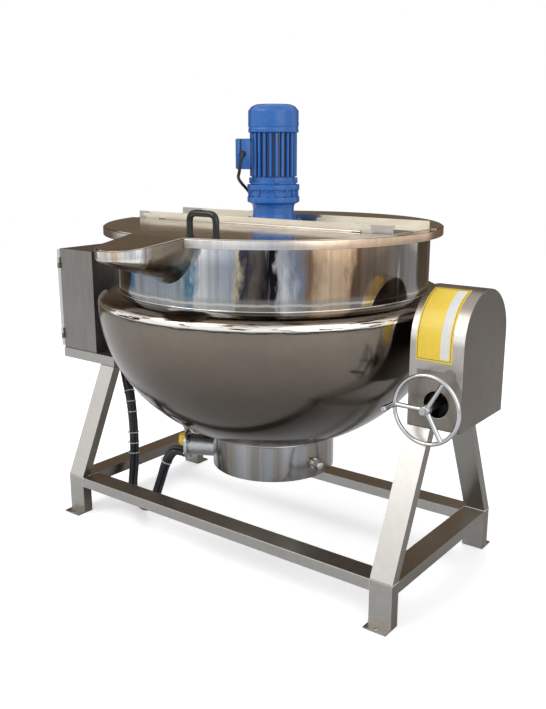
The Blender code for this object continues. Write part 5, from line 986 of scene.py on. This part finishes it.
def make_jacket(sizes):
    """The jacket: a quarter-ellipse shoulder and a half-ellipse bottom, with its seams."""
    gap = round_the_bowl(sizes)
    lines = []
    for thick in (0.0, SHELL):
        radius = sizes.jacket_radius - thick
        t = np.linspace(0, math.pi / 2, 14)[:-1]
        heights = sizes.dish_top + (sizes.shoulder - thick) * np.cos(t)
        roll = np.stack((gap + (radius - gap) * np.sin(t), heights), 1)
        stop = math.acos((sizes.sump_radius - thick) / radius)
        t = np.linspace(0, stop, 48)
        heights = sizes.dish_top - (sizes.jacket_depth - thick) * np.sin(t)
        bottom = np.stack((radius * np.cos(t), heights), 1)
        lines.append(np.concatenate((roll, bottom)))
    profile = np.concatenate((lines[0], lines[1][::-1]))
    piece("jacket", [turned(profile, FINE_STEPS, KETTLE, closed=True)], "kettle", "jacket", ["jacket_shell"])
    for name, height, reach, bead in (
            ("shoulder_weld", sizes.dish_top + sizes.shoulder, gap + 0.0012, 0.0018),
            ("housing_weld", 0.4150, 0.2290, 0.0028)):
        ring = circle(KETTLE + UP * height, reach)
        piece(name, [tube(ring, bead, 8, closed=True)], "kettle", "bright steel")


def make_rim(sizes):
    """The flat rim with its lip turned down, open where the spout leaves."""
    gap = round_the_bowl(sizes)
    top, outer, sheet = sizes.rim_top, sizes.rim_radius, sizes.sheet
    profile = rounded([(outer, top), (outer, top - sizes.rim_lip), (outer - sheet, top - sizes.rim_lip),
                       (outer - sheet, top - sheet), (gap, top - sheet), (gap, top)], 0.0016, 5, True)
    half = math.asin((sizes.spout_root + sheet) / outer)
    span = (-math.pi / 2 + half, 1.5 * math.pi - half)
    band = turned(profile, FINE_STEPS, KETTLE, closed=True, span=span)
    piece("rim", [band], "kettle", "rim", ["rim_band"], fill=True)


def spout_rows(sizes, grow):
    """Rows of U-shaped sections from the bowl's wall to the round nose, `grow` bigger all round."""
    columns = np.linspace(0, math.pi, 49)
    nose = sizes.spout_reach - sizes.spout_tip
    wall_radius = sizes.bowl_radius + sizes.sheet + 0.0004
    start = np.sqrt(wall_radius ** 2 - ((sizes.spout_root + grow) * np.cos(columns)) ** 2)
    rows = []
    for share in np.linspace(0, 1, 26):
        reach = start * (1 - share) + nose * share
        along = np.clip((reach - SPOUT_BEND) / (nose - SPOUT_BEND), 0, 1)
        width = sizes.spout_root + (sizes.spout_tip - sizes.spout_root) * along + grow
        rows.append((reach, width))
    for turn in np.linspace(0, math.pi / 2, 26)[1:]:
        radius = sizes.spout_tip + grow
        rows.append((np.full_like(columns, nose + radius * math.sin(turn)),
                     np.full_like(columns, radius * math.cos(turn))))
    points = []
    for reach, width in rows:
        share = np.clip((reach - sizes.bowl_radius) / (sizes.spout_reach - sizes.bowl_radius), 0, 1)
        depth = SPOUT_DEPTH + (NOSE_DEPTH - SPOUT_DEPTH) * share + grow
        power = 1 / (1 + 2.5 * share ** 2)
        across = np.sign(np.cos(columns)) * np.abs(np.cos(columns)) ** power
        down = np.abs(np.sin(columns)) ** power
        down[0] = down[-1] = 0
        top = spout_top(sizes, reach)
        points.append(np.stack((-width * across, -reach, top - depth * down), 1))
    return np.array(points)


def spout_top(sizes, reach):
    """The height of the spout's top edge at a distance from the axis."""
    return sizes.rim_top - np.maximum(0, reach - SPOUT_BEND) * SPOUT_FALL / (sizes.spout_reach - SPOUT_BEND)


def make_spout(sizes):
    """The spout as a closed sheet, and the bright folded lip along its edge."""
    inner, outer = spout_rows(sizes, 0.0), spout_rows(sizes, sizes.sheet)
    points = np.concatenate((inner, outer[:, ::-1]), 1) + KETTLE
    piece("spout", [grid(points)], "kettle", "spout", ["pouring_spout"], angle=50.0, fill=True)
    edge = inner[:, 0]
    line = np.concatenate((edge, edge[-2::-1] * (-1, 1, 1)))
    line = line + KETTLE - UP * 0.0022
    piece("spout_lip", [tube(line[4:-4], 0.0026, 10)], "kettle", "spout")


def make_housing(sizes):
    """The heater housing, its port with flange, bolts, cap and gland, and the drain."""
    low, high, radius = sizes.sump_low, 0.4115, sizes.sump_radius
    inside = radius - SHELL
    section = rounded([(inside, high), (radius, high), (radius, low), (inside, low)], 0.0012, 4, True)
    shell = turned(section, FINE_STEPS, KETTLE, closed=True)
    piece("housing_wall", [shell], "kettle", "heater housing", ["heater_housing"])
    base = rod(radius - 0.0043, low, low + 0.006, KETTLE, steps=FINE_STEPS)
    piece("housing_floor", [base], "kettle", "sheet steel", ["heater_base_plate"])
    foot = KETTLE + outwards(math.radians(-64.0)) * (radius + 0.0002)
    seam = foot + UP * np.linspace(low + 0.002, high - 0.002, 30)[:, None]
    piece("housing_seam", [tube(seam, 0.0012, 8)], "kettle", "turned steel")

    make_port()
    make_drain(radius)


def make_port():
    """The heater's port with flange, bolts, cap and gland, each turned about its own axis."""
    bolt_circle = 0.0495
    out = outwards(PORT_ANGLE)
    middle = KETTLE + UP * 0.326
    face = middle + out * 0.3383
    section = rounded([
        (0.037, 0.224), (0.041, 0.224), (0.041, 0.326), (0.058, 0.326), (0.058, 0.338),
        (0.0, 0.338), (0.0, 0.3262), (0.037, 0.3262)], 0.0015, 5, True)
    neck = turned(section, ROUND_STEPS, middle, out, closed=True)
    piece("port", [neck], "kettle", "zinc", ["heater_port"])
    side, other = frame_of(out)
    bolts = []
    for i in range(6):
        turn = TAU * (i + 0.5) / 6
        spot = middle + bolt_circle * (math.cos(turn) * side + math.sin(turn) * other)
        for low, high in ((0.3382, 0.3425), (0.3205, 0.3258)):
            bolts.append(rod(0.0050, low, high, spot, out, 6, 0.0006))
    piece("port_bolts", bolts, "kettle", "turned steel")
    section = rounded([
        (0, 0), (0.0295, 0), (0.0295, 0.010), (0.0262, 0.012), (0.0240, 0.027), (0, 0.030)], 0.002)
    cap = turned(section, ROUND_STEPS, face + UP * 0.018, out)
    piece("port_cap", [cap], "kettle", "yellow", ["heater_cap"])
    section = rounded([
        (0, 0), (0.021, 0), (0.021, 0.007), (0.0178, 0.008), (0.0200, 0.0155), (0, 0.016)], 0.001)
    gland = turned(section, SMALL_STEPS, face - UP * 0.0345, out)
    piece("port_gland", [gland], "kettle", "black", ["heater_gland"])


def make_drain(radius):
    """The drain's pipe, its six-sided plug and its collar."""
    away = outwards(math.radians(-14.0))
    level = KETTLE + UP * 0.338
    pipe = rod(0.010, radius - SHELL, radius + 0.034, level, away)
    piece("drain", [pipe], "kettle", "bright steel", ["drain_pipe"])
    start = 0.2399
    section = rounded([
        (0, start + 0.0295), (0.0125, start + 0.0295), (0.015, start + 0.027), (0.015, start),
        (0.0103, start), (0.0103, 0.2623), (0, 0.2623)], 0.0008)
    plug = turned(section, 6, level, away)
    piece("drain_cap", [plug], "kettle", "bright steel", ["drain_plug"], angle=25.0)
    section = rounded([(0.009, 0.2290), (0.019, 0.2290), (0.019, 0.2335), (0.009, 0.2335)], 0.0008, 4, True)
    collar = turned(section, SMALL_STEPS, level, away, closed=True)
    piece("drain_collar", [collar], "kettle", "bright steel")


def make_lid(sizes):
    """The front half lid, the fixed rear half, and the handle with its feet and tag."""
    dressed("front_half_lid", "lid steel", 0.0006)
    dressed("rear_half_lid", "lid steel", 0.0006)
    radius = sizes.handle_tube
    half, corner, high = 0.052, 0.017, sizes.handle_rise - radius
    line = rounded([(-half, 0, 0), (-half, 0, high), (half, 0, high), (half, 0, 0)], corner * 1.5, 14)
    foot = KETTLE + (0.143, -0.533, 1.1806)
    first, last = np.linspace(line[0], line[1], 6)[:-1], np.linspace(line[-2], line[-1], 6)[1:]
    path = np.concatenate([first, line[1:-1], last])
    section = rounded([(0, 0), (0.0128, 0), (0.0128, 0.002), (radius, 0.004), (0, 0.004)], 0.001)
    feet = [turned(section, SMALL_STEPS, foot + (x, 0, 0)) for x in (-half, half)]
    shapes = [tube(path + foot, radius, 24)] + feet
    piece("handle", shapes, "front_lid", "black gloss", ["lid_handle"], angle=60.0)
    tag = block((0.030, 0.012, 0.0012), 0.0005, foot + (-0.012, 0, high + radius - 0.0004))
    piece("handle_tag", [tag], "front_lid", "black")


def make_channel():
    """The channel across the rim under its film."""
    dressed("mixer_beam", "film", 0.0008)
    bolts = []
    for x in (-0.40, 0.30, 0.44):
        for y in (-0.08, 0.08):
            bolts.append(rod(0.0075, 0, 0.006, KETTLE + (x, y, 1.1813), steps=6, edge=0.0008))
    piece("channel_bolts", bolts, "kettle", "zinc")


# Motor and reducer


def make_reducer():
    """The reducer's stack of flanges and discs with its bolts and ribs."""
    base = 1.1816
    outline = [(0.0225, 0), (0.100, 0), (0.100, 0.012), (0.076, 0.012), (0.0725, 0.030), (0.0725, 0.052),
               (0.076, 0.064), (0.092, 0.072), (0.092, 0.090), (0.084, 0.090), (0.084, 0.114), (0.092, 0.114),
               (0.092, 0.132), (0, 0.132), (0, 0.03), (0.0225, 0.03)]
    body = turned(rounded(outline, 0.0022, 5, True), 96, KETTLE + UP * base, closed=True)
    piece("reducer", [body], "kettle", "blue", ["gear_reducer"])
    bolts, ribs = [], []
    for i in range(8):
        turn = TAU * (i + 0.5) / 8
        out = outwards(turn)
        spot = KETTLE + out * 0.0868
        for low in (0.0905, 0.1085):
            bolts.append(rod(0.0048, low, low + 0.0050, spot + UP * base, steps=6, edge=0.0005))
        foot = KETTLE + out * 0.089 + UP * (base + 0.012)
        bolts.append(rod(0.0058, 0, 0.006, foot, steps=6, edge=0.0006))
        out = outwards(TAU * i / 8)
        middle = KETTLE + out * 0.0845 + UP * (base + 0.102)
        ribs.append(block((0.010, 0.010, 0.023), 0.0018, middle, (out, beside(out), UP)))
    piece("reducer_bolts", bolts, "kettle", "blue")
    piece("reducer_ribs", ribs, "kettle", "blue")


def make_motor(sizes):
    """The finned motor: its radius swings between root and fin round the axis."""
    fins, per_fin = 24, 12
    root, foot = 0.0745, 1.3139
    angle = np.linspace(0, TAU, fins * per_fin, endpoint=False)
    phase = np.abs((angle / TAU * fins + 0.5) % 1 - 0.5)
    swing = np.clip((0.30 - phase) / 0.10, 0, 1)
    swing = swing * swing * (3 - 2 * swing)
    rows = []
    full = [(height, 1, 1.0) for height in np.linspace(1.35, 1.48, 6)]
    levels = [
        (foot, 0, 0.0), (foot, 1, 0.0), (1.3399, 1, 0.0), (1.3402, 1, 0.0), (1.3410, 1, 0.8),
        (1.3430, 1, 1.0), *full, (1.4870, 1, 1.0), (1.4885, 1, 0.8), (1.4889, 1, 0.0), (1.4889, 0, 0.0)]
    for height, size, rise in levels:
        radius = size * (root + (sizes.fin_radius - root) * rise * swing)
        rows.append(level_rows(radius, angle, height))
    piece("motor", [grid(np.array(rows) + KETTLE)], "kettle", "motor", ["motor_housing"])
    section = rounded([
        (0.06, 0), (0.0805, 0), (0.0805, 0.009), (0.0755, 0.011), (0.0755, 0.026), (0.06, 0.026)],
        0.0015, 5, True)
    flange = turned(section, 96, KETTLE + UP * foot, closed=True)
    lugs = []
    for i in range(4):
        out = outwards(TAU * (i + 0.5) / 4)
        middle = KETTLE + out * 0.0785 + UP * 1.3275
        lugs.append(block((0.014, 0.016, 0.020), 0.003, middle, (out, beside(out), UP)))
    piece("motor_flange", [flange] + lugs, "kettle", "blue")
    make_cowl(sizes.cowl_radius)
    dressed("motor_rotor", "turned steel")


def make_cowl(radius):
    """The fan cowl: a turned shell with a seam, its wire guard and its screws."""
    low, seam, inside = 1.4892, radius - 0.0016, radius - 0.0035
    outline = [
        (0.030, 1.5832), (0.060, 1.5832), (0.0762, 1.5760), (radius, 1.5622), (radius, low + 0.020),
        (seam, low + 0.018), (seam, low + 0.014), (radius, low + 0.012), (radius, low),
        (0.073, low), (0.073, low + 0.002), (inside, low + 0.002), (inside, 1.5602),
        (0.0742, 1.5740), (0.059, 1.5812), (0.030, 1.5812)]
    shell = turned(rounded(outline, 0.0030, 5, True), 96, KETTLE, closed=True)
    piece("cowl", [shell], "kettle", "blue", ["fan_cowl"], angle=50.0)
    wire = 0.0012
    rings = [circle(KETTLE + UP * 1.5815, reach, ROUND_STEPS) for reach in (0.0075, 0.015, 0.0225)]
    guard = [tube(ring, wire, 8, closed=True) for ring in rings]
    top = KETTLE + UP * 1.5812
    for i in range(3):
        out = outwards(TAU * i / 6) * 0.0305
        guard.append(tube([top - out, top + out], wire, 8))
    piece("cowl_guard", guard, "kettle", "black")
    screws = []
    level = KETTLE + UP * (low + 0.030)
    for i in range(4):
        out = outwards(TAU * (i + 0.35) / 4)
        screws.append(rod(0.0036, radius - 0.002, radius + 0.0008, level, out, 16, 0.0006))
    piece("cowl_screws", screws, "kettle", "blue")


def make_terminal_box():
    """The terminal box: case, seal, recessed cover with screws, and its gland."""
    basis = (OUTWARD, ACROSS, UP)
    case = block((0.034, 0.076, 0.103), 0.004, by_terminal(0.098, 0, TERMINAL_MIDDLE), basis)
    saddle = block((0.020, 0.056, 0.086), 0.003, by_terminal(0.080, 0, TERMINAL_MIDDLE), basis)
    cover = block((0.0135, 0.076, 0.103), 0.004, by_terminal(0.1242, 0, TERMINAL_MIDDLE), basis)
    piece("terminal_case", [case, saddle, cover], "kettle", "blue", ["terminal_box"])
    seal = block((0.004, 0.0752, 0.1022), 0.0015, by_terminal(0.1162, 0, TERMINAL_MIDDLE), basis)
    piece("terminal_seal", [seal], "kettle", "black")
    screws = [rod(0.0034, 0, 0.0012, by_terminal(0.1296, y, TERMINAL_MIDDLE + z), OUTWARD, 16, 0.0004)
              for y in (-0.031, 0.031) for z in (-0.044, 0.044)]
    piece("terminal_screws", screws, "kettle", "zinc")
    root = by_terminal(0.1093, 0.036, TERMINAL_MIDDLE)
    section = rounded([
        (0, 0), (0.011, 0), (0.011, 0.007), (0.0085, 0.008), (0.0068, 0.0139), (0, 0.0139)], 0.0008)
    piece("terminal_gland", [turned(section, 24, root, ACROSS)], "kettle", "black")


# Stand, box and drive


def make_stand():
    """The stand's tubes with rounded edges, and the welds where they meet."""
    for node_name in frame["nodes"]:
        if node_name.startswith(("base_rail", "post_", "leg_")):
            plain = node_name == "base_rail_front" or node_name.startswith("post_")
            dressed(node_name, "rail steel" if plain else "stand steel", 0.0028)
    beads = []
    for x in (-0.706, 0.706):
        for side in (-1, 1):
            outer, inner = side * 0.3592, side * 0.3188
            corners = [(x + step, y, 0.1521) for step, y in (
                (-0.040, outer), (0.040, outer), (0.040, inner), (-0.040, inner))]
            beads.append(tube(rounded(corners, 0.004, 5, True), 0.0020, 8, closed=True))
            rail_end = x - math.copysign(0.0402, x)
            corners = [(rail_end, side * y, z) for y, z in (
                (0.3588, 0.1515), (0.3588, 0.1125), (0.2795, 0.1125), (0.2795, 0.1515))]
            beads.append(tube(rounded(corners, 0.004, 5, True), 0.0019, 8, closed=True))
    piece("welds", beads, "stand", "bright steel")


def make_box():
    """The shelf, the electric box, its door and controls."""
    dressed("left_shelf", "rail steel", 0.0015)
    dressed("control_box", "box", 0.0012)
    dressed("control_box_door", "sheet steel", 0.0012)
    dressed("contactor_block", "white", 0.002)
    dressed("cable_gland", "black", 0.0015)
    dressed("door_latch", "zinc", 0.0008)
    dressed("start_button", "green", 0.0012)
    dressed("stop_button", "red", 0.0012)
    dressed("temperature_knob", "black gloss", 0.0015)


# The label: its two sides, its length, and the same for the thin line that runs inside its edge
LABEL_SIDES = (0.687, 0.807)
LABEL_LENGTH = 0.262
LINE_SIDES = (0.6915, 0.8025)
LINE_ENDS = (0.005, 0.257)
LINE_WIDTH = 0.0013


def make_tilt_drive():
    """Bearings, worm and wheel inside the cover, and the cover with its plain label."""
    for name, look in (("bearing_left", "cast"), ("bearing_right", "cast"), ("worm_bracket", "cast"),
                       ("trunnion_left", "turned steel"), ("trunnion_right", "turned steel"),
                       ("worm_wheel", "bronze"), ("worm_shaft", "turned steel")):
        dressed(name, look)
    dressed("gear_housing", "gear cover", 0.0025, 20.0)
    field = label_sheet(*LABEL_SIDES, 0.0, LABEL_LENGTH, 0.0003)
    piece("label_field", [field], "stand", "label yellow")
    band = label_sheet(0.768, 0.797, 0.010, 0.252, 0.0005)
    piece("label_band", [band], "stand", "white")
    left, right = LINE_SIDES
    first, last = LINE_ENDS
    strips = [label_sheet(*sides, *ends, 0.0006) for sides, ends in (
        ((left, left + LINE_WIDTH), LINE_ENDS), ((right - LINE_WIDTH, right), LINE_ENDS),
        (LINE_SIDES, (first, first + LINE_WIDTH)), (LINE_SIDES, (last - LINE_WIDTH, last)))]
    piece("label_lines", strips, "stand", "black")


def label_sheet(low, high, first, last, lift):
    """A thin closed sheet on the cover: straight up its front, then along a circle over its arch."""
    run = np.linspace(first, last, 40)
    radius, foot, bend = 0.157, 0.812, 0.866
    turn = np.clip(run - (bend - foot), 0, None) / radius
    rows = []
    for out in (radius + 0.00005, radius + lift):
        y = np.where(turn > 0, -out * np.cos(turn), -out)
        z = np.where(turn > 0, bend + out * np.sin(turn), foot + run)
        rows.append(np.stack((y, z), 1))
    section = np.concatenate((rows[0], rows[1][::-1]))
    points = np.array([np.column_stack((np.full(len(section), x), section)) for x in (low, high)])
    middle = (rows[0] + rows[1]) / 2
    flat = np.concatenate((middle, middle[::-1]))
    ends = [np.column_stack((np.full(len(flat), x), flat))[None] for x in (low, high)]
    return grid(np.concatenate((ends[0], points, ends[1])))


def make_handwheel(sizes):
    """The handwheel: ring, hub and three spokes, its nut and the turning grip."""
    centre = np.array((0.762, -0.222, 0.679))
    forward = np.array((0, -1.0, 0))
    around = np.linspace(0, TAU, 96, endpoint=False)[:, None]
    ring = centre + sizes.wheel_radius * np.concatenate((np.cos(around), 0 * around, np.sin(around)), 1)
    shapes = [tube(ring, sizes.wheel_tube, 20, closed=True)]
    section = rounded([
        (0.0075, -0.017), (0.0155, -0.017), (0.0155, 0.004), (0.0135, 0.017), (0.0075, 0.017)],
        0.0015, 5, True)
    shapes.append(turned(section, 48, centre, forward, closed=True))
    for angle in (math.pi, math.radians(300), math.radians(60)):
        out = np.array((math.cos(angle), 0, math.sin(angle)))
        path = centre + out * np.linspace(0.012, sizes.wheel_radius - 0.003, 24)[:, None]
        share = np.linspace(0, 1, 24)
        shapes.append(tube(path, 0.0072 + 0.0012 * (2 * share - 1) ** 2, 16))
    grip_at = centre - (sizes.wheel_radius, 0, 0)
    shapes.append(rod(0.004, 0.004, 0.0725, grip_at, forward, 20))
    piece("wheel", shapes, "worm", "chrome", ["handwheel"], angle=50.0)
    nut = rod(0.011, 0.0173, 0.0273, centre, forward, 6, 0.0012)
    piece("wheel_nut", [nut], "worm", "zinc", ["handwheel_nut"], angle=25.0)
    section = rounded([
        (0.0043, 0.0068), (0.0085, 0.0068), (0.0095, 0.012), (0.0074, 0.022), (0.0098, 0.048),
        (0.0095, 0.066), (0.0070, 0.0725), (0.0043, 0.0728)], 0.006, 8, True)
    grip = turned(section, SMALL_STEPS, grip_at, forward, closed=True)
    piece("wheel_grip", [grip], "grip", "chrome", ["handwheel_grip"], angle=60.0)


def make_agitator():
    """The stirring frame inside the bowl and the element inside the heater housing."""
    for name, look, edge in (
            ("agitator_shaft", "sheet steel", 0.0), ("anchor_frame", "sheet steel", 0.0),
            ("scraper_left", "white", 0.0015), ("scraper_right", "white", 0.0015),
            ("heating_element", "turned steel", 0.0)):
        dressed(name, look, edge, 45.0)


# Operators and panel


class KETTLE_OT_stage(bpy.types.Operator):
    """Make the camera, floor, lamps, dark card and world"""
    bl_idname = "kettle.stage"
    bl_label = "Stage"

    def execute(self, context):
        make_stage()
        return {"FINISHED"}


class KETTLE_OT_effects(bpy.types.Operator):
    """Make the node groups that the materials share"""
    bl_idname = "kettle.effects"
    bl_label = "Shared effects"

    def execute(self, context):
        grain_group()
        painted_facing_shade_group()
        dust_group()
        return {"FINISHED"}


class KETTLE_OT_cables(bpy.types.Operator):
    """Lay the heater's cables and the motor's lead"""
    bl_idname = "kettle.cables"
    bl_label = "Cables"

    def execute(self, context):
        make_heater_cables(context.scene.kettle_sizes)
        make_motor_cable(context.scene.kettle_sizes)
        return {"FINISHED"}


class KETTLE_OT_bowl(bpy.types.Operator):
    """Build the bowl"""
    bl_idname = "kettle.bowl"
    bl_label = "Bowl"

    def execute(self, context):
        make_bowl(context.scene.kettle_sizes)
        return {"FINISHED"}


class KETTLE_OT_jacket(bpy.types.Operator):
    """Build the jacket and its welds"""
    bl_idname = "kettle.jacket"
    bl_label = "Jacket"

    def execute(self, context):
        make_jacket(context.scene.kettle_sizes)
        return {"FINISHED"}


class KETTLE_OT_rim(bpy.types.Operator):
    """Build the rim"""
    bl_idname = "kettle.rim"
    bl_label = "Rim"

    def execute(self, context):
        make_rim(context.scene.kettle_sizes)
        return {"FINISHED"}


class KETTLE_OT_spout(bpy.types.Operator):
    """Build the spout and its lip"""
    bl_idname = "kettle.spout"
    bl_label = "Spout"

    def execute(self, context):
        make_spout(context.scene.kettle_sizes)
        return {"FINISHED"}


class KETTLE_OT_housing(bpy.types.Operator):
    """Build the heater housing, its port and the drain"""
    bl_idname = "kettle.housing"
    bl_label = "Heater housing"

    def execute(self, context):
        make_housing(context.scene.kettle_sizes)
        return {"FINISHED"}


class KETTLE_OT_lid(bpy.types.Operator):
    """Build the lids and the handle"""
    bl_idname = "kettle.lid"
    bl_label = "Lids and handle"

    def execute(self, context):
        make_lid(context.scene.kettle_sizes)
        return {"FINISHED"}


class KETTLE_OT_channel(bpy.types.Operator):
    """Dress the channel across the rim"""
    bl_idname = "kettle.channel"
    bl_label = "Channel"

    def execute(self, context):
        make_channel()
        return {"FINISHED"}


class KETTLE_OT_motor(bpy.types.Operator):
    """Build the reducer, the motor, its cowl and terminal box"""
    bl_idname = "kettle.motor"
    bl_label = "Motor and reducer"

    def execute(self, context):
        make_reducer()
        make_motor(context.scene.kettle_sizes)
        make_terminal_box()
        return {"FINISHED"}


class KETTLE_OT_stand(bpy.types.Operator):
    """Dress the stand and lay its welds"""
    bl_idname = "kettle.stand"
    bl_label = "Stand"

    def execute(self, context):
        make_stand()
        return {"FINISHED"}


class KETTLE_OT_box(bpy.types.Operator):
    """Dress the shelf, the electric box and its controls"""
    bl_idname = "kettle.box"
    bl_label = "Electric box"

    def execute(self, context):
        make_box()
        return {"FINISHED"}


class KETTLE_OT_drive(bpy.types.Operator):
    """Dress the tilt drive and its cover"""
    bl_idname = "kettle.drive"
    bl_label = "Tilt drive"

    def execute(self, context):
        make_tilt_drive()
        return {"FINISHED"}


class KETTLE_OT_handwheel(bpy.types.Operator):
    """Build the handwheel, its nut and grip"""
    bl_idname = "kettle.handwheel"
    bl_label = "Handwheel"

    def execute(self, context):
        make_handwheel(context.scene.kettle_sizes)
        return {"FINISHED"}


class KETTLE_OT_agitator(bpy.types.Operator):
    """Dress the stirring frame and the heating element"""
    bl_idname = "kettle.agitator"
    bl_label = "Stirring frame"

    def execute(self, context):
        make_agitator()
        return {"FINISHED"}


OPERATORS = (
    KETTLE_OT_stage, KETTLE_OT_effects, KETTLE_OT_cables, KETTLE_OT_bowl, KETTLE_OT_jacket, KETTLE_OT_rim,
    KETTLE_OT_spout, KETTLE_OT_housing, KETTLE_OT_lid, KETTLE_OT_channel, KETTLE_OT_motor, KETTLE_OT_stand,
    KETTLE_OT_box, KETTLE_OT_drive, KETTLE_OT_handwheel, KETTLE_OT_agitator,
)


class KETTLE_PT_panel(bpy.types.Panel):
    """Sizes, colours and steps of the kettle's looks"""
    bl_label = "Kettle"
    bl_idname = "KETTLE_PT_panel"
    bl_space_type = "VIEW_3D"
    bl_region_type = "UI"
    bl_category = "Kettle"

    def draw(self, context):
        """A button for each step, then the sizes and the colours."""
        for operator in OPERATORS:
            self.layout.operator(operator.bl_idname)
        for settings in (context.scene.kettle_sizes, context.scene.kettle_colours):
            box = self.layout.box()
            for name in settings.bl_rna.properties.keys():
                if name not in ("rna_type", "name"):
                    box.prop(settings, name)


CLASSES = (KettleSizes, KettleColours, *OPERATORS, KETTLE_PT_panel)


def register():
    """Add the classes, and the sizes and colours to the scene."""
    for item in CLASSES:
        bpy.utils.register_class(item)
    bpy.types.Scene.kettle_sizes = bpy.props.PointerProperty(type=KettleSizes)
    bpy.types.Scene.kettle_colours = bpy.props.PointerProperty(type=KettleColours)


def unregister():
    """Take them away again."""
    del bpy.types.Scene.kettle_colours
    del bpy.types.Scene.kettle_sizes
    for item in reversed(CLASSES):
        bpy.utils.unregister_class(item)


def main():
    """Run every step in order."""
    register()
    for operator in OPERATORS:
        group_name, step = operator.bl_idname.split(".")
        getattr(getattr(bpy.ops, group_name), step)()


if __name__ == "__main__":
    main()
